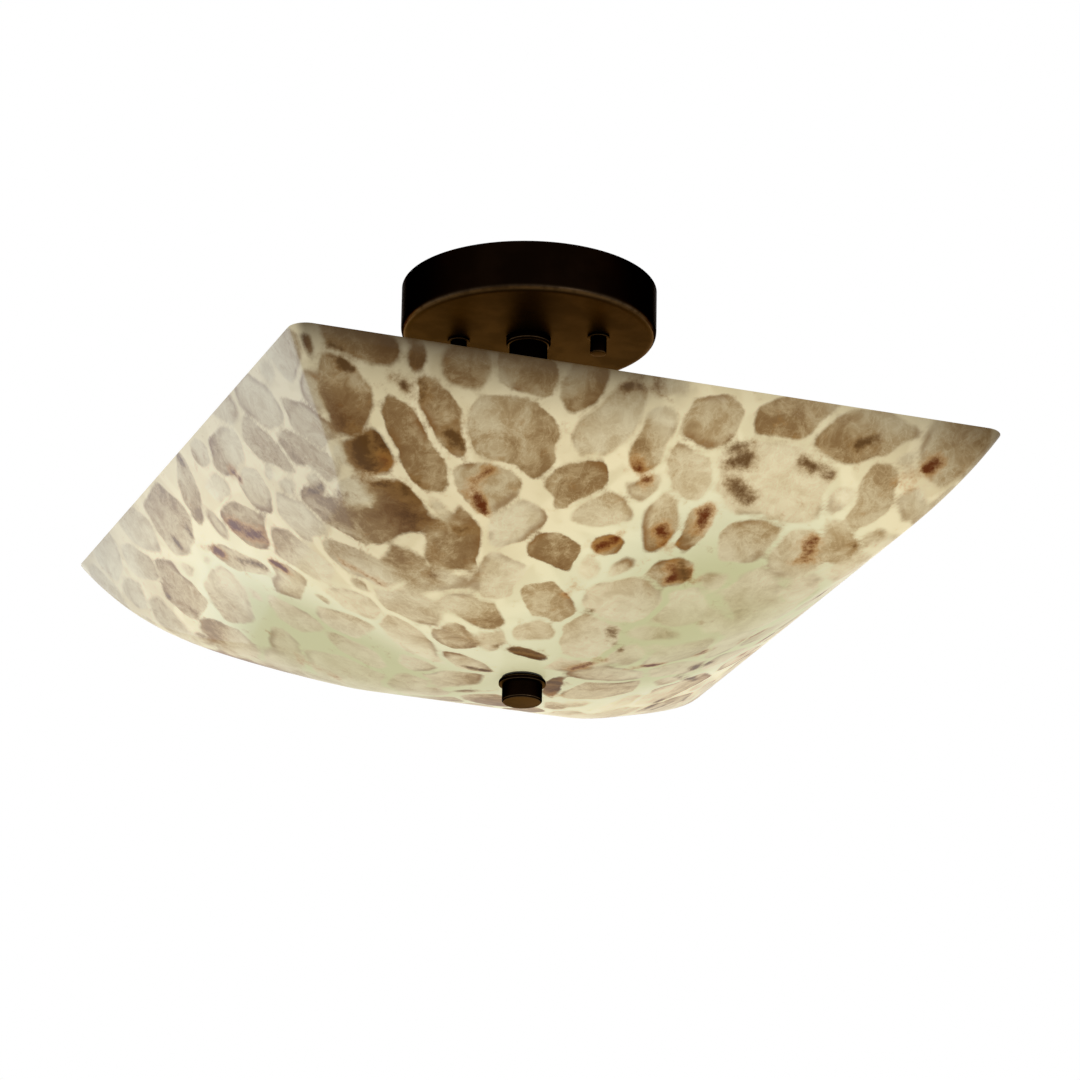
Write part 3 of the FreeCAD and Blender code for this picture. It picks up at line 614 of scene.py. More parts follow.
# Dimming the glow on faces that look left is painted shade.
light = lamp_light(bowl_grid, outward) * (1 - 0.5 * facing_left)
inside = slice(outside_count + LIP_STEPS, None)
light[inside] = np.clip(light[inside], 0.12, 0.5)
seen_light = light[:outside_count]
print("light on the wall, least and most:", seen_light.min().round(3), seen_light.max().round(3))

# %% [markdown]
# ## Where the stones lie
#
# The wall is cast from cream resin over flat broken stones, and their places
# make the look of this bowl. Voronoi cells would look alike everywhere, so each
# larger stone that the picture shows is listed by the side it is on: its centre
# along the side and up the arc, its half length, half width and slant in
# degrees, how dark it is from 0 to 100, and how soft its edge is, in tenths of a
# millimetre.

# %% The larger stones of each side: along, up, long, wide, slant, dark, soft
FRONT, LEFT, RIGHT, BACK = range(4)


def by_side(groups):
    """Rows that start with their side, in the order given, from (side, rows)."""
    return [(side, *row) for side, rows in groups for row in rows]


STONES = by_side([(FRONT, [
    (-168, 185, 7, 2, 126, 82, 12), (-141, 190, 21, 7, 171, 70, 18),
    (-118, 188, 10, 6, 122, 82, 14), (-148, 164, 21, 12, 124, 66, 14),
    (-108, 147, 35, 9, 128, 60, 8), (-99, 161, 22, 9, 134, 55, 9), (-92, 188, 12, 10, 160, 56, 22),
    (-62, 188, 15, 10, 171, 52, 9), (-62, 156, 24, 17, 162, 50, 8), (-67, 131, 16, 14, 5, 42, 8),
    (-126, 136, 14, 9, 121, 96, 14), (-107, 113, 20, 10, 143, 84, 12),
    (-73, 97, 21, 12, 107, 60, 10),
]), (LEFT, [
    (-91, 116, 24, 13, 62, 62, 12),
]), (FRONT, [
    (-26, 139, 15, 12, 40, 60, 8), (-35, 186, 12, 10, 84, 56, 14), (-37, 166, 5, 4, 77, 52, 8),
    (-18, 171, 22, 12, 47, 33, 22), (5, 168, 23, 9, 85, 40, 14), (31, 178, 15, 12, 50, 45, 10),
    (27, 153, 15, 10, 121, 34, 9), (69, 154, 30, 19, 170, 22, 22), (72, 186, 18, 11, 11, 56, 12),
    (107, 183, 24, 12, 3, 50, 14), (121, 154, 17, 9, 75, 46, 10), (153, 183, 18, 13, 31, 46, 26),
    (134, 163, 4, 3, 42, 88, 8), (86, 164, 8, 3, 149, 60, 12), (-8, 127, 14, 9, 22, 38, 14),
    (20, 126, 17, 8, 98, 44, 16), (39, 126, 14, 6, 78, 40, 10), (67, 122, 14, 12, 28, 42, 12),
    (92, 118, 14, 12, 108, 34, 14), (110, 127, 12, 9, 123, 44, 10), (-24, 100, 13, 9, 161, 62, 8),
    (-1, 107, 8, 6, 18, 60, 10), (-48, 112, 14, 10, 55, 22, 10), (-46, 77, 14, 11, 102, 28, 12),
    (-15, 64, 17, 9, 134, 44, 9), (14, 41, 21, 13, 115, 20, 14),
]), (RIGHT, [
    (-18, 20, 24, 10, 72, 38, 12), (9, 32, 17, 13, 116, 40, 12),
]), (FRONT, [
    (37, 96, 11, 9, 173, 50, 12), (43, 53, 12, 6, 10, 40, 34), (-11, 19, 14, 4, 162, 88, 10),
]), (RIGHT, [
    (11, 5, 19, 4, 11, 92, 10),
]), (LEFT, [
    (-130, 158, 16, 12, 38, 40, 14), (-81, 167, 15, 10, 59, 46, 12),
    (-110, 147, 20, 13, 62, 48, 12), (-45, 178, 20, 9, 170, 36, 14), (-20, 187, 9, 7, 7, 30, 14),
    (13, 179, 19, 8, 130, 46, 14), (50, 175, 18, 15, 142, 46, 14), (-14, 146, 15, 12, 44, 50, 10),
    (-47, 155, 13, 11, 138, 32, 12), (23, 140, 27, 6, 35, 42, 12), (90, 149, 17, 14, 145, 46, 10),
    (108, 174, 16, 9, 35, 30, 14), (55, 129, 19, 13, 159, 28, 16), (-3, 115, 14, 10, 160, 34, 12),
    (87, 185, 15, 10, 28, 28, 16), (92, 114, 17, 12, 63, 42, 14), (132, 163, 11, 9, 42, 30, 16),
    (-61, 95, 21, 11, 77, 34, 14), (-82, 74, 18, 11, 144, 56, 14), (-14, 49, 25, 10, 132, 22, 18),
    (-37, 33, 14, 12, 8, 50, 10), (-8, 18, 14, 7, 115, 34, 12),
]), (FRONT, [
    (-49, 51, 20, 8, 147, 40, 14),
]), (LEFT, [
    (-100, 138, 12, 7, 124, 30, 16), (26, 100, 16, 9, 63, 26, 16), (-24, 82, 15, 10, 53, 24, 18),
])])
print("larger stones:", len(STONES))

# %% [markdown]
# Every other stone is drawn from a seed. A new one is kept only if it stays
# clear of those already there, so small ones end up in the gaps, as they do
# when chips are strewn by hand. On a side with listed stones the new ones are
# pale, because there they lie deeper in the resin.

# %% Strew the rest from a seed
dice = np.random.default_rng(29)
HIGHEST, APART = 195, 0.96


def strewn(side, taken, tries=1500):
    """Stones at random places that stay APART times the sum of their radii from others."""
    kept = [row for row in taken if row[0] == side]
    listed, added = len(kept), []
    for share in np.linspace(1, 0, tries) ** 0.8:
        up = HIGHEST * math.sqrt(dice.uniform(0.003, 1))
        along = dice.uniform(-1, 1) * (BOWL["flat"] + ARC * math.sin(up / ARC) - 3)
        long = 5.5 + 13.5 * share * dice.uniform(0.75, 1.1)
        wide = long * dice.uniform(0.5, 0.95)
        room = [math.hypot(along - row[1], up - row[2])
                - APART * (math.sqrt(long * wide) + math.sqrt(row[3] * row[4])) for row in kept]
        if min(room, default=1) > 0:
            if listed:
                dark, soft = dice.uniform(16, 38), dice.uniform(13, 28)
            else:
                dark = dice.choice([32, 42, 50, 58, 70]) + dice.uniform(-6, 6)
                soft = dice.uniform(8, 18)
            kept.append((side, along, up, long, wide, dice.uniform(0, 180), dark, soft))
            added.append(kept[-1])
    return added


for side in (FRONT, LEFT, RIGHT, BACK):
    STONES = STONES + strewn(side, STONES)
print("stones in all:", len(STONES))

# %% [markdown]
# A stone is drawn as a field: at each point of the wall, how many millimetres
# it lies inside the stone's outline. The outline is five to seven straight cuts
# set round an ellipse, and the depth is the distance to the nearest cut, with
# the corners eased. Where two stones meet, half the difference of their depths
# leaves an even seam of resin between them. The shader then only has to ask
# where the depth passes zero, so outlines stay sharp at any zoom.

# %% Draw the stones as a depth field
OUT = np.array([(0, -1, 0), (-1, 0, 0), (1, 0, 0), (0, 1, 0)], float)
ALONG = np.array([(1, 0, 0), (0, 1, 0), (0, 1, 0), (1, 0, 0)], float)


def wall_frame(side, along, up):
    """A place on the wall and its axes: along the side, up the arc, and outwards.

    With a = up / arc radius the place is along, flat + radius sin a out and
    centre - radius cos a high. Up is out cos a + z sin a, outwards is
    out sin a - z cos a.
    """
    a, z = up / ARC, np.array([0, 0, 1.0])
    place = (ALONG[side] * along + OUT[side] * (BOWL["flat"] + ARC * math.sin(a))
             + z * (ARC_CENTRE - ARC * math.cos(a)))
    return place, np.stack([ALONG[side], OUT[side] * math.cos(a) + z * math.sin(a),
                            OUT[side] * math.sin(a) - z * math.cos(a)])


def cuts_of(long, wide, slant):
    """Directions and distances of the cuts round an ellipse.

    The cuts stand round a unit circle at angles g and are stretched with it, so
    a cut's normal is (cos g / long, sin g / wide) over its length, and it lies
    one over that length from the centre, times a random 1.02 to 1.17.
    """
    count = dice.choice([5, 5, 6, 7])
    g = (np.arange(count) + dice.uniform(-0.25, 0.25, count)) * 2 * np.pi / count
    g = g + dice.uniform(0, np.pi)
    normal = np.stack([np.cos(g) / long, np.sin(g) / wide])
    length = np.hypot(*normal)
    cos, sin = math.cos(math.radians(slant)), math.sin(math.radians(slant))
    facing = np.array([[cos, -sin], [sin, cos]]) @ (normal / length)
    return facing, dice.uniform(1.02, 1.17, count) / length


def draw_stones(points, stones, seam=3.0, ease=0.5):
    """Depth, darkness and softness at each point, from the deepest stone there.

    A stone ends 1 mm past the ridge of its own side, which is where the distance
    to the diagonal plane, (outward - sideways) / root 2, is -1. Where no stone
    is near the point counts as 30 mm outside. Across a stone the darkness drifts
    evenly to one side, by a random slope.
    """
    depth, second, dark, soft, owner = (
        np.full(len(points), start) for start in (-30.0, -30.0, 0.3, 1.0, -1))
    for side, along, up, long, wide, slant, tone, blur in stones:
        place, axes = wall_frame(side, along, up)
        offset = points - place
        near = np.flatnonzero((offset ** 2).sum(-1) < (1.5 * long + 14) ** 2)
        local = offset[near] @ axes.T
        facing, away = cuts_of(long, wide, slant)
        inside = away - local[:, :2] @ facing
        here = -ease * np.log(np.exp(-np.clip(inside, -60, 60) / ease).sum(-1))
        own_side = (points[near] @ OUT[side] - np.abs(points[near] @ ALONG[side])) / math.sqrt(2)
        here = np.minimum(here, own_side + 1.0)
        drift = local[:, :2] @ dice.normal(0, 0.085 / wide, 2)
        first = here > depth[near]
        same = owner[near] == side
        second[near] = np.where(first, np.where(same, depth[near], -30),
                                np.where(same, np.maximum(second[near], here), second[near]))
        depth[near] = np.where(first, here, depth[near])
        dark[near] = np.where(first, tone / 100 + np.clip(drift, -0.16, 0.16), dark[near])
        soft[near] = np.where(first, blur / 10, soft[near])
        owner[near] = np.where(first, side, owner[near])
    return np.minimum(depth, (depth - second - seam) / 2 * np.maximum(soft, 1)), dark, soft


def smoothed(field):
    """Each vertex becomes 1 to 2 to 1 with its neighbours, along the rows and up the columns."""
    field = field.reshape(bowl_grid.shape[:2])
    field = (np.roll(field, 1, 1) + 2 * field + np.roll(field, -1, 1)) / 4
    return np.concatenate([field[:1], (field[:-2] + 2 * field[1:-1] + field[2:]) / 4, field[-1:]])


flat_points = bowl_grid.reshape(-1, 3)
chip, dark, soft = (smoothed(field) for field in draw_stones(flat_points, STONES))
print("share of the wall that is stone:", (chip > 0).mean().round(3))

# %% [markdown]
# Some stones carry rusty or near black stains. A stain runs along a crack or an
# edge, so each one is a short stroke from one place on the wall to another, with
# a reach. Its value is a bell curve of the distance from the stroke, and the
# finish later breaks its edge up with noise. The right and back sides get more
# from the seed. A third field is painted shade: towards the rim the wall turns
# darker, most of all near two corners.

# %% Stains of each side: along, up, to along, to up, reach; rim shade: turn, strength
RUST = by_side([(FRONT, [
    (-77, 126, -68, 139, 3.2), (-70, 124, -65, 116, 4), (-4, 105, 3, 113, 4.2),
    (-11, 105, -4, 107, 2.6), (34, 100, 46, 95, 4.6), (36, 92, 44, 99, 3.6),
    (133, 163, 138, 166, 5), (140, 169, 148, 176, 4.5), (-125, 124, -121, 135, 6),
    (-8, 81, -8, 74, 4), (22, 121, 29, 112, 5), (0, 154, 6, 146, 5), (97, 127, 98, 115, 4.5),
    (40, 135, 42, 125, 4.5), (19, 9, 27, 22, 3.5),
]), (LEFT, [
    (62, 84, 65, 71, 3), (63, 65, 66, 60, 3.4), (-39, 170, -40, 164, 3), (-3, 150, -18, 138, 6.5),
    (39, 155, 27, 147, 4), (-6, 128, -9, 119, 4), (-53, 103, -58, 74, 2.2),
]), (RIGHT, [
    (-32, 63, -42, 68, 3.2), (-27, 33, -30, 46, 3),
]), (BACK, [
    (20, 9, 25, 6, 3.5),
])])
DARK = by_side([(FRONT, [
    (41, 168, 49, 172, 4.5), (46, 160, 53, 164, 5), (48, 151, 60, 144, 5), (80, 167, 87, 164, 4),
    (89, 165, 98, 161, 3.5), (106, 178, 114, 183, 4.5), (116, 127, 136, 118, 2.6),
    (-75, 103, -64, 105, 3), (-84, 92, -74, 76, 3), (4, 62, 7, 63, 2.2), (20, 51, 25, 47, 2.6),
    (28, 40, 33, 35, 2.2), (-82, 76, -73, 68, 5), (-122, 177, -112, 172, 7),
    (-42, 168, -37, 163, 2), (-14, 191, -1, 193, 6), (-94, 154, -85, 149, 5),
    (-134, 144, -123, 122, 8), (-111, 120, -101, 126, 5), (-98, 118, -90, 101, 3.2),
    (-25, 21, 1, 20, 3.6), (-159, 187, -146, 178, 5), (38, 103, 45, 93, 3),
]), (LEFT, [
    (-14, 32, -18, 25, 2), (-3, 16, -3, 4, 2.4), (3, 195, 4, 190, 3.5), (39, 168, 39, 160, 3.2),
    (58, 169, 58, 162, 3), (18, 137, 4, 127, 3.2), (99, 160, 106, 151, 3), (97, 142, 94, 131, 3),
    (110, 127, 109, 118, 3), (-74, 139, -99, 132, 3.2), (-99, 132, -108, 120, 3),
]), (RIGHT, [
    (1, 0, 1, 7, 4.5), (-1, 69, 25, 90, 3),
])])
RIM_SHADE = [(-180, 0.25), (-60, 0.10), (-45.5, 0.15), (-44.5, 0.85), (-28, 1.0), (-18, 0.98),
         (-2, 0.85), (8, 0.22), (25, 0.30), (38, 0.50), (46, 0.85), (90, 0.3), (180, 0.25)]
for strokes in (RUST, DARK):
    for side, along, up in [(side, dice.uniform(-130, 130), dice.uniform(70, 190))
                            for side in (RIGHT, BACK) for _ in range(12)]:
        strokes.append((side, along, up, along + dice.uniform(-14, 14), up + dice.uniform(-14, 14),
                        dice.uniform(2.5, 5)))


def stained(points, strokes):
    """The largest of exp(-(distance / reach)^2) from the given strokes.

    The nearest point of a stroke is its start plus t times its run, where t is
    the share of the run that the point projects onto, kept between 0 and 1.
    """
    value = np.zeros(len(points))
    for side, along, up, to_along, to_up, reach in strokes:
        start = wall_frame(side, along, up)[0]
        run = wall_frame(side, to_along, to_up)[0] - start
        t = np.clip((points - start) @ run / (run @ run), 0, 1)[:, None]
        away = ((points - start - t * run) ** 2).sum(-1)
        value = np.maximum(value, np.exp(-away / reach ** 2))
    return smoothed(value)


def rim_shade_of(points):
    """Painted shade: rises from 0 at 30 mm below the rim to 1 at the rim, and varies round it.

    The turn round the bowl, in degrees from the front, sets the strength: strong
    from the near left corner to the middle of the front and at the far corner.
    """
    height = np.clip((points[:, 2] - BOWL["rim"] + 30) / 30, 0, 1) ** 1.7
    turn = np.degrees(np.arctan2(points[:, 0], -points[:, 1]))
    return (height * np.interp(turn, *zip(*RIM_SHADE))).reshape(bowl_grid.shape[:2])


bowl = piece_from(
    "bowl_shade", bowl_grid, "bowl", "shade", closed_rows=True, crease=50,
    values={"glow": light, "gloss": 0.05 + 0.55 * facing_left, "chip": chip, "dark": dark,
            "soft": soft, "rust": stained(flat_points, RUST), "umber": stained(flat_points, DARK),
            "rim_shade": rim_shade_of(flat_points)})

# %% [markdown]
# ## Stone in resin
#
# Inside a stone there are soft clouds, pale hair cracks and a net of fine
# crackle, and the outline is not clean but bitten. All of it is noise on the
# object's own coordinates. The wall also holds blurred shapes behind the stones,
# which only show in the resin between them. Those have no fixed places, so
# Voronoi cells are good enough for them.

# %% Marbling as a group
def warped(place, colour, reach):
    """A place moved by a colour of noise times a reach in metres."""
    shift = add("VectorMath", {0: colour, "Scale": reach}, operation="SCALE")[0]
    return add("VectorMath", {0: place, 1: shift}, operation="ADD")[0]


def cells(place, scale, **options):
    """Voronoi cells of a scale per metre."""
    return add("TexVoronoi", {"Vector": place, "Scale": scale}, **options)


marble, given, made = group_named(
    "stone_marbling", {"Scale": 95.0},
    ["Cloud", "Crack", "Net", "Bite", "Patch", "Stain", "Ragged"])
spot = given["Place"]
clouds = noise(spot, given["Scale"], 6.0, 0.68, 0.5)["Color"]
hair = calc("SUBTRACT", noise(spot, 62.0, 5.0, 0.6, 1.4)[0], 0.5)
net = cells(warped(spot, clouds, 0.006), 230.0, feature="DISTANCE_TO_EDGE")
region = parts_of(noise(spot, 34.0, 3.0)["Color"])
fill(made, {
    "Cloud": spread(parts_of(clouds)[0], 0.3, 0.7),
    "Crack": spread(calc("ABSOLUTE", hair), 0.0, 0.03, 1.0, 0.0),
    "Net": spread(net["Distance"], 0.0, 0.09, 1.0, 0.0),
    "Bite": calc("SUBTRACT", noise(spot, 210.0, 4.0, 0.62)[0], 0.5),
    "Patch": spread(region[0], 0.4, 0.6),
    "Stain": spread(region[1], 0.52, 0.66),
    "Ragged": calc("SUBTRACT", noise(spot, 120.0, 6.0, 0.7)[0], 0.5)})
print("group:", marble.name)

# %% Blurred shapes behind the stones as a group
behind, given, made = group_named("stones_behind", {"Scale": 34.0}, ["Mask", "Tone"])
spot = given["Place"]
moved = warped(spot, noise(spot, 48.0, 4.0)["Color"], 0.008)
edge = cells(moved, given["Scale"], feature="DISTANCE_TO_EDGE")["Distance"]
cell_colour = cells(moved, given["Scale"])["Color"]
fill(made, {"Mask": spread(edge, 0.05, 0.15), "Tone": parts_of(cell_colour)[0]})
print("group:", behind.name)

# %% [markdown]
# The colour of a stone comes from a ramp over its darkness, from nearly resin
# to near black umber, and the clouds move it up and down the ramp. Round some
# stones the edge is drawn darker, where resin has crept under it.

# %% The colour of the wall
CREAM = (0.80, 0.715, 0.53, 1)
stone, shader = finish_named("stone_in_resin", Roughness=0.35, Specular_IOR_Level=0.05,
                             Coat_Roughness=0.06, Emission_Strength=1.0)
place = place_for(shader)
vein = use(marble, place, Scale=95.0)
deep = use(behind, place, Scale=34.0)


def stone_ramp(tone, marks):
    """A colour ramp over a number, from marks of (place, colour)."""
    colour = add("ValToRGB", {0: tone})[0]
    stops = colour.node.color_ramp.elements
    while len(stops) < len(marks):
        stops.new(0.5)
    for stop, (at, shade) in zip(stops, marks):
        stop.position, stop.color = at, (*shade, 1)
    return colour


bitten = calc("ADD", attribute(shader, "chip"), times(vein["Bite"], 2.2))
mask = spread(calc("DIVIDE", bitten, attribute(shader, "soft")), -0.6, 0.9)
darkness = attribute(shader, "dark")
cloud_shift = spread(vein["Cloud"], 0, 1, -0.11, 0.11, False)
net_shift = times(times(vein["Net"], vein["Patch"]), -0.05)
crack_shift = times(vein["Crack"], -0.045)
tone = calc("ADD", calc("ADD", darkness, cloud_shift), calc("ADD", net_shift, crack_shift))
stone_colour = stone_ramp(tone, [
    (0.0, (0.74, 0.68, 0.53)), (0.22, (0.62, 0.545, 0.405)), (0.38, (0.51, 0.42, 0.285)),
    (0.50, (0.39, 0.285, 0.165)), (0.62, (0.255, 0.16, 0.075)), (0.84, (0.155, 0.077, 0.026)),
    (1.0, (0.09, 0.038, 0.009))])
side_band = times(spread(bitten, 0.3, 5.0, 1.0, 0.0), vein["Stain"])
edge_dark = times(side_band, spread(darkness, 0.2, 0.5, 0.5, 0.95))
rimmed = blend_colours(edge_dark, stone_colour, (0.20, 0.095, 0.028, 1))
deep_colour = stone_ramp(deep["Tone"], [(0.0, (0.50, 0.40, 0.24)), (0.5, (0.62, 0.54, 0.36)),
                                        (1.0, (0.42, 0.31, 0.17))])
veiled = times(deep["Mask"], spread(vein["Patch"], 0, 1, 0.12, 0.4, False))
backdrop = blend_colours(veiled, CREAM, deep_colour)
print("stones and what lies behind them")

# %% [markdown]
# Close to a lamp the light is so strong that the stones are washed out to one
# pale, faintly green tone. So the share of the stones falls with the light on
# the wall, and the resin leans to green there. The stains are laid over that,
# and the painted shade towards the rim comes last.

# %% Washed out by the lamps, then stained, then painted shade at the rim
light_here = attribute(shader, "glow")
washed = spread(light_here, 0.35, 0.75, 1.0, 0.6)
paler = blend_colours(spread(light_here, 0.12, 0.3, 0.0, 0.75), backdrop, (0.67, 0.69, 0.56, 1))
resin = blend_colours(spread(light_here, 0.26, 0.5, 0.0, 0.9), paler, (0.56, 0.565, 0.36, 1))
wall_colour = blend_colours(times(mask, washed), resin, rimmed)


def stained_over(label, below, core, halo, strength):
    """Lays a stain over a colour: a soft halo of its bell curve, then a ragged core."""
    held = times(attribute(shader, label), spread(mask, 0, 1, 0.5, 1.0, False))
    value = calc("ADD", held, times(vein["Ragged"], 1.7))
    faint = times(spread(value, 0.1, 0.8), 0.7)
    strong = times(spread(value, 0.45, 1.0), strength)
    return blend_colours(strong, blend_colours(faint, below, halo), core)


rusted = stained_over("rust", wall_colour, (0.105, 0.022, 0.002, 1), (0.42, 0.20, 0.05, 1), 1.0)
darkened = stained_over("umber", rusted, (0.085, 0.037, 0.008, 1), (0.26, 0.14, 0.045, 1), 0.9)
# Painted shade: the wall darkens to deep brown towards the rim.
stained_and_rim_shaded = blend_colours(attribute(shader, "rim_shade"), darkened, (0.055, 0.031, 0.010, 1))
print("stains and smoke laid over the wall")

# %% [markdown]
# The glow is the wall's own colour times the light that gets through, so dark
# stone glows less than resin. A camera squeezes such a wide range of light, and
# raising the light to a low power does the same. The tint is that of a warm
# lamp.

# %% The glow of the wall
squeezed = calc("MINIMUM", times(calc("POWER", light_here, 0.45), 1.9), 1.0)
lift = times(squeezed, spread(light_here, 0.12, 0.5, 0.78, 0.56))
warm = add("CombineColor", {0: lift, 1: times(lift, 0.93), 2: times(lift, 0.66)})[0]
skin = use(grain, place, Scale=300.0, Patch=60.0)["Cloud"]
fill(shader, {
    "Base Color": stained_and_rim_shaded, "Coat Weight": attribute(shader, "gloss"),
    "Emission Color": blend_colours(1.0, stained_and_rim_shaded, warm, "MULTIPLY"),
    "Normal": add("Bump", {"Height": skin, "Strength": 0.04, "Distance": 0.001})[0]})
bowl.data.materials.append(stone)
print("finish:", stone.name, "with", len(stone.node_tree.nodes), "nodes")

# %% [markdown]
# ## The canopy
#
# The canopy is a pan spun from sheet metal, open at the top, with an easy round
# where the side turns into the underside. Its profile is a thin band: out along
# the underside, up the side, over the edge and back down the inside.

# %% Canopy
UNDERSIDE, SIDE, SHEET, PIPE_HOLE = -25.4, 63.5, 1.0, 5.2
bronzed("canopy_pan", [
    (PIPE_HOLE, UNDERSIDE), (SIDE, UNDERSIDE, 4.5), (SIDE, 0, 0.35), (SIDE - SHEET, 0, 0.35),
    (SIDE - SHEET, UNDERSIDE + SHEET, 3.5), (PIPE_HOLE, UNDERSIDE + SHEET)],
    "fixture", "canopy", turns=160, finer=10)

# %% [markdown]
# ## Stem
#
# A collar against the canopy, a sleeve of tube, and a foot collar that rests on
# the lamp frame. Each collar has a bevel towards the tube and softened edges,
# which is where the bright line sits in the photograph; the finish lays a
# painted highlight on those rounds. The sleeve reaches over the neck of each
# collar.

# %% Collars and sleeve
FOOT, COLLAR_HEIGHT = -121.0, 4.55
COLLAR = [(5.0, 0), (11.1, 0, 0.3), (11.1, 3.3, 0.5), (10.1, 4.45, 0.5), (8.4, 4.5), (8.4, 6.4),
          (5.0, 6.4)]
for label, level, way in (("stem_collar", UNDERSIDE, -1), ("stem_foot", FOOT, 1)):
    corners = [(across, way * high, *ease) for across, high, *ease in COLLAR]
    bronzed(label + "_cap", corners, "fixture", label, (0, 0, level), turns=80)
top, low = UNDERSIDE - COLLAR_HEIGHT, FOOT + COLLAR_HEIGHT
bronzed("stem_sleeve", [(8.55, top, 0.2), (9.5, top, 0.3), (9.5, low, 0.3), (8.55, low, 0.2)],
        "fixture", "stem_tube", turns=80)
print("stem from", UNDERSIDE, "to", FOOT)

# %% [markdown]
# ## Cap nuts and washers
#
# Two blind nuts hold the canopy on its studs. Each is a small round cap with a
# flat end whose edge is eased, over a thin washer.

# %% Cap nuts
MOUNT_ANGLE, STUD_OUT, WASHER = math.radians(-26.5), 2.75 * INCH / 2, 1.2
for letter, out in (("a", STUD_OUT), ("b", -STUD_OUT)):
    x, y = out * math.cos(MOUNT_ANGLE), out * math.sin(MOUNT_ANGLE)
    bronzed("cap_washer_face_" + letter, [
        (2.13, 0), (5.5, 0, 0.3), (5.5, -WASHER, 0.45), (2.13, -WASHER)], "cap_washer_" + letter,
        "cap_nut_washer_" + letter, (x, y, UNDERSIDE), turns=48)
    bronzed("cap_nut_face_" + letter, [
        (2.1, 0), (4.1, 0, 0.25), (4.1, -8.3, 1.1), (0, -8.3), (0, -6.4), (2.1, -6.4)],
        "cap_nut_" + letter, "cap_nut_" + letter, (x, y, UNDERSIDE - WASHER), turns=64)

# %% [markdown]
# ## Finial
#
# A flange with a sloped upper edge presses on the lower gasket, and the round
# knob below it is a blind nut on the rod. The knob's end is a plain flat disc
# with a fine bevel.

# %% Finial
FLANGE_TOP, FLANGE, KNOB = -204.7, 3.0, 9.0
bronzed("finial_flange_face", [
    (4.95, 0), (10.3, 0, 0.4), (11.5, -1.2, 0.5), (11.5, -FLANGE, 0.4), (4.95, -FLANGE)],
    "finial_base", "finial_flange", (0, 0, FLANGE_TOP))
bronzed("finial_knob_face", [
    (4.92, 0), (9.8, 0, 0.3), (9.8, 0.8 - KNOB, 0.4), (9.0, -KNOB, 0.4), (0, -KNOB), (0, -6.6),
    (4.92, -6.6)], "finial", "finial_knob", (0, 0, FLANGE_TOP - FLANGE))
print("finial ends at", FLANGE_TOP - FLANGE - KNOB)

# %% [markdown]
# ## Lamps
#
# The lamps lie back to back, 36 degrees off the bowl's sides. The envelope is
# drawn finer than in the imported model: a neck, a cone and the round that the
# cone touches. The screw cap gets its rounded thread, a right-handed helix of
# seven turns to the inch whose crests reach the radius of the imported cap.

# %% Envelope and cap of each lamp
def on_lamp(way, along, radius):
    """Places (along, radius) round a lamp's line: radius cos a up, radius sin a sideways."""
    a = full_turn(radius.shape[1])[0]
    line, up = way * lamp_line, np.array([0, 0, 1.0])
    return (up * LAMP_LEVEL + along[..., None] * line + (radius * np.cos(a))[..., None] * up
            + (radius * np.sin(a))[..., None] * np.cross(line, up))


def envelope_profile(start=38.0, neck_end=55.0, centre=89.0, neck=12.0, big=24.0):
    """Neck, cone and round in (along, radius).

    Seen from the round's centre, the cone touches the round at the angle of the
    neck's end less acos(big / L), where L is the distance to the neck's end.
    """
    length = math.hypot(neck, centre - neck_end)
    touch = math.atan2(neck, neck_end - centre) - math.acos(big / length)
    angle = np.linspace(touch, 0, 40)
    bulge = np.stack([centre + big * np.cos(angle), big * np.sin(angle)], axis=-1)
    barrel = np.stack([np.linspace(start, neck_end, 6), np.full(6, neck)], axis=-1)
    cone = np.linspace(barrel[-1], bulge[0], 8)[1:-1]
    return np.concatenate([[(start, 0)], barrel, cone, bulge])


def threaded(along, crest, depth, pitch, turns):
    """A helix: radius crest - depth (1 - cos(2 pi along / pitch - a)) / 2 at the turn a."""
    return crest - depth * (1 - np.cos(2 * np.pi * along / pitch - full_turn(turns))) / 2


def cap_grid(turns=96, start=28.6, end=50.0, mouth=10.5, crest=13.0, bore=12.08, depth=0.8):
    """A hollow cap with a cone at its start, and a thread that fades out 1.5 mm from its ends."""
    lead, wall = crest - mouth, crest - bore
    skin = np.linspace(start + lead, end, 76)[:, None]
    cut = (depth * np.clip((skin - start - lead) / 1.5, 0, 1)
           * np.clip((end - 1 - skin) / 1.5, 0, 1))
    inside = np.array([bore, bore, mouth - wall, mouth - wall])[:, None]
    plain = np.ones((1, turns))
    radius = np.concatenate([mouth * plain, threaded(skin, crest, cut, INCH / 7, turns),
                             inside * plain])
    along = np.concatenate([[start], skin[:, 0], [end, start + lead, start + wall, start]])
    return np.broadcast_to(along[:, None], radius.shape), radius


envelope = envelope_profile()
for letter, way in (("a", 1), ("b", -1)):
    along, radius = (np.broadcast_to(envelope[:, i:i + 1], (len(envelope), 96)) for i in (0, 1))
    glass = piece_from("lamp_envelope_" + letter, on_lamp(way, along, radius), "lamp_" + letter,
                       "bulb_glass_" + letter,
                       values={"lit": np.clip((along - 50) / 36, 0, 1)})
    cap = piece_from("lamp_cap_" + letter, on_lamp(way, *cap_grid()), "lamp_" + letter,
                     "bulb_cap_" + letter, closed_rows=True)
    glass.data.materials.append(frosted)
    cap.data.materials.append(cap_metal)

# %% [markdown]
# ## Threaded pipes
#
# One pipe runs down the stem and a second from the lamp frame to the finial.
# Both carry a fine thread over their whole length. It shows when the bowl is
# down, so it is cut into the shape: a right-handed helix of 27 turns to the
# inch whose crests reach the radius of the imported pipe.

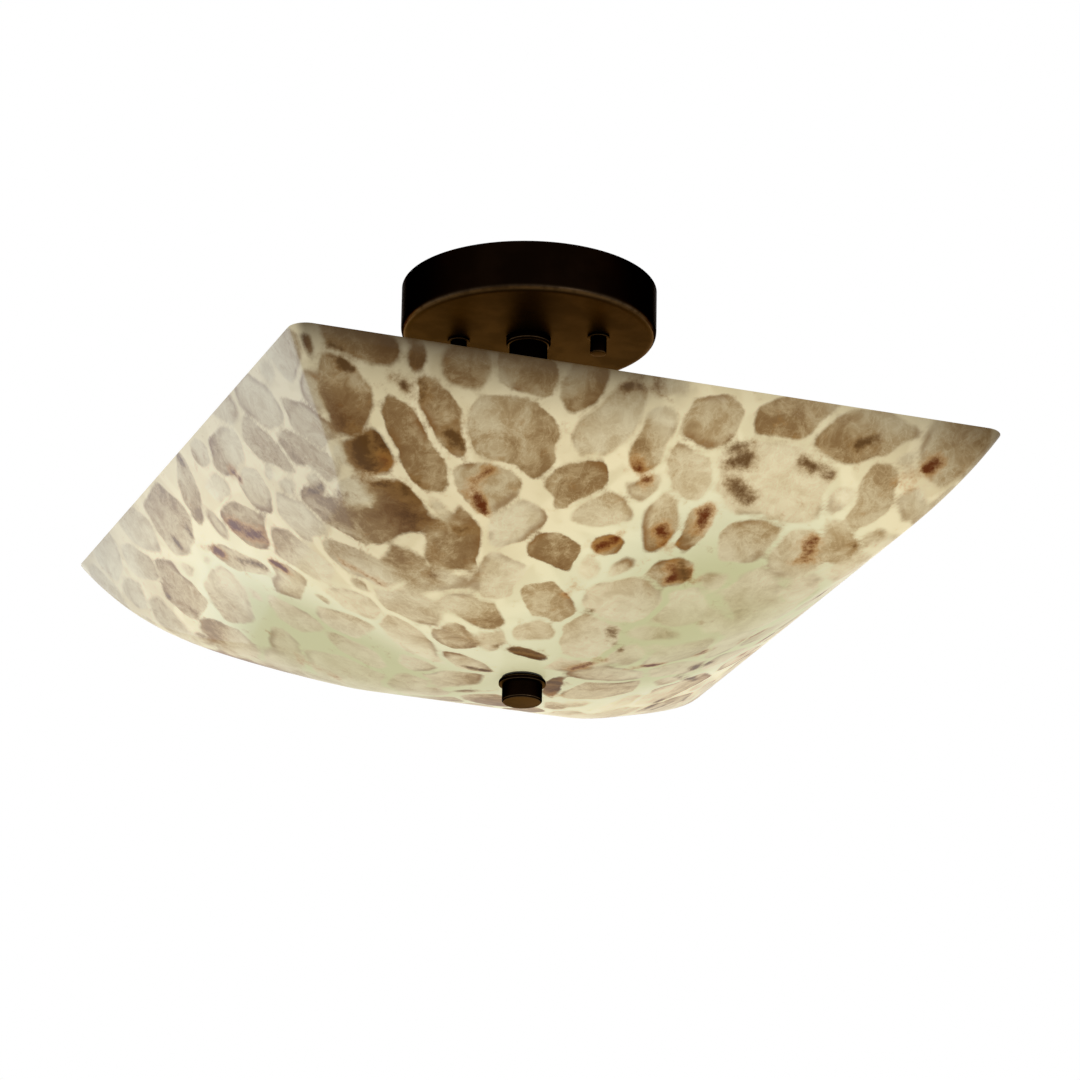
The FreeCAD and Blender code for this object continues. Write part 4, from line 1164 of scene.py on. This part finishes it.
# %% Stem pipe and drop rod
def pipe_grid(low, high, crest=4.85, bore=3.5, depth=0.5, pitch=INCH / 27, turns=28):
    """A thread up the outside, drawn with six rings to each turn of it, and a plain bore."""
    skin = np.linspace(low, high, int(6 * (high - low) / pitch))[:, None]
    radius = np.concatenate([threaded(skin, crest, depth, pitch, turns),
                             np.full((2, turns), bore)])
    return around(radius, np.concatenate([skin[:, 0], [high, low]])[:, None])


for label in ("stem_pipe", "drop_rod"):
    low, high = (corner.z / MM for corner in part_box(label))
    rod = piece_from(label + "_thread", pipe_grid(low, high), "fixture", label,
                     closed_rows=True)
    rod.data.materials.append(zinc)
    print(label, "from", round(low, 1), "to", round(high, 1))

# %% [markdown]
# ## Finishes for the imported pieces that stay
#
# The rest of the pieces keep their CAD shapes. They only get a finish, by the
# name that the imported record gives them. The studs are the one exception: their
# finish has thread rings.

# %% Finishes by slot
FINISHES = {"dark_bronze": bronze, "zinc_steel": zinc, "green_screw": green, "stone_glass": stone,
            "rubber": rubber, "socket_moulding": glaze, "brass": brass, "solder": solder,
            "black_glass": black_glass, "lamp_cap": cap_metal, "lamp_glass": frosted}
slots = {row["node"]: row["material_slot"] for row in frame["record"]["subparts"]}
for label, node in frame["nodes"].items():
    node.data.materials.clear()
    node.data.materials.append(stud_thread if label == "canopy_studs" else
                               FINISHES[slots[label]])
print("finished", len(slots), "packed pieces")

# %% [markdown]
# ## Studio
#
# The photograph has a pure white ground. The world is white to the camera and in
# reflections, and dimmer to everything else, so the object keeps its own plain
# light. A pale floor lies far below, where a room's floor would be. Two large
# soft lamps light the bowl from the left and from the front.

# %% World, floor and lamps
def seen_directly(node):
    """1 for rays of the camera, reflections and transmission, 0 for the rest."""
    rays = add("LightPath", {}, node.id_data)
    mirrored = calc("MAXIMUM", rays["Is Glossy Ray"], rays["Is Transmission Ray"])
    return calc("MAXIMUM", rays["Is Camera Ray"], mirrored)


world = bpy.data.worlds.new("studio")
bpy.context.scene.world = world
world.use_nodes = True
sky = world.node_tree.nodes["Background"]
fill(sky, {"Strength": 1.0, "Color": blend_colours(
    seen_directly(sky), (0.30, 0.305, 0.315, 1), (1, 1, 1, 1))})

FLOOR_REACH, FLOOR_LEVEL = 30, -3.3
floor_mesh = bpy.data.meshes.new("studio_floor")
floor_mesh.from_pydata([(x * FLOOR_REACH, y * FLOOR_REACH, FLOOR_LEVEL)
                        for x, y in ((-1, -1), (1, -1), (1, 1), (-1, 1))], [], [(0, 1, 2, 3)])
in_scene("studio_floor", floor_mesh)
paper, shader = finish_named("floor_paper", Roughness=0.9, Base_Color=(0.86, 0.86, 0.86, 1),
                             Emission_Color=(0.6, 0.6, 0.6, 1))
fill(shader, {"Emission Strength": seen_directly(shader)})
floor_mesh.materials.append(paper)


def softbox(name, place, aim, size, power, colour=(1, 1, 1)):
    """A square area lamp at a place, turned to face the point that it aims at."""
    lamp = bpy.data.lights.new(name, "AREA")
    lamp.shape, lamp.size, lamp.energy, lamp.color = "SQUARE", size, power, colour
    back = np.array(place, float) - np.array(aim, float)
    back /= np.linalg.norm(back)
    right = np.cross([0, 0, 1], back)
    right /= np.linalg.norm(right)
    holder = in_scene(name, lamp)
    holder.matrix_world = matrix_of(np.stack([right, np.cross(back, right), back], axis=1), place)
    holder.visible_camera = False


softbox("left_softbox", (-1.15, 2.15, -0.42), (-0.1, 0, -0.15), 1.5, 11.0, (0.80, 0.90, 1.0))
softbox("front_softbox", (0.9, -2.4, -1.6), (0, 0, -0.15), 1.0, 9.0)
bpy.context.scene.view_settings.view_transform = "Standard"
print("studio ready")
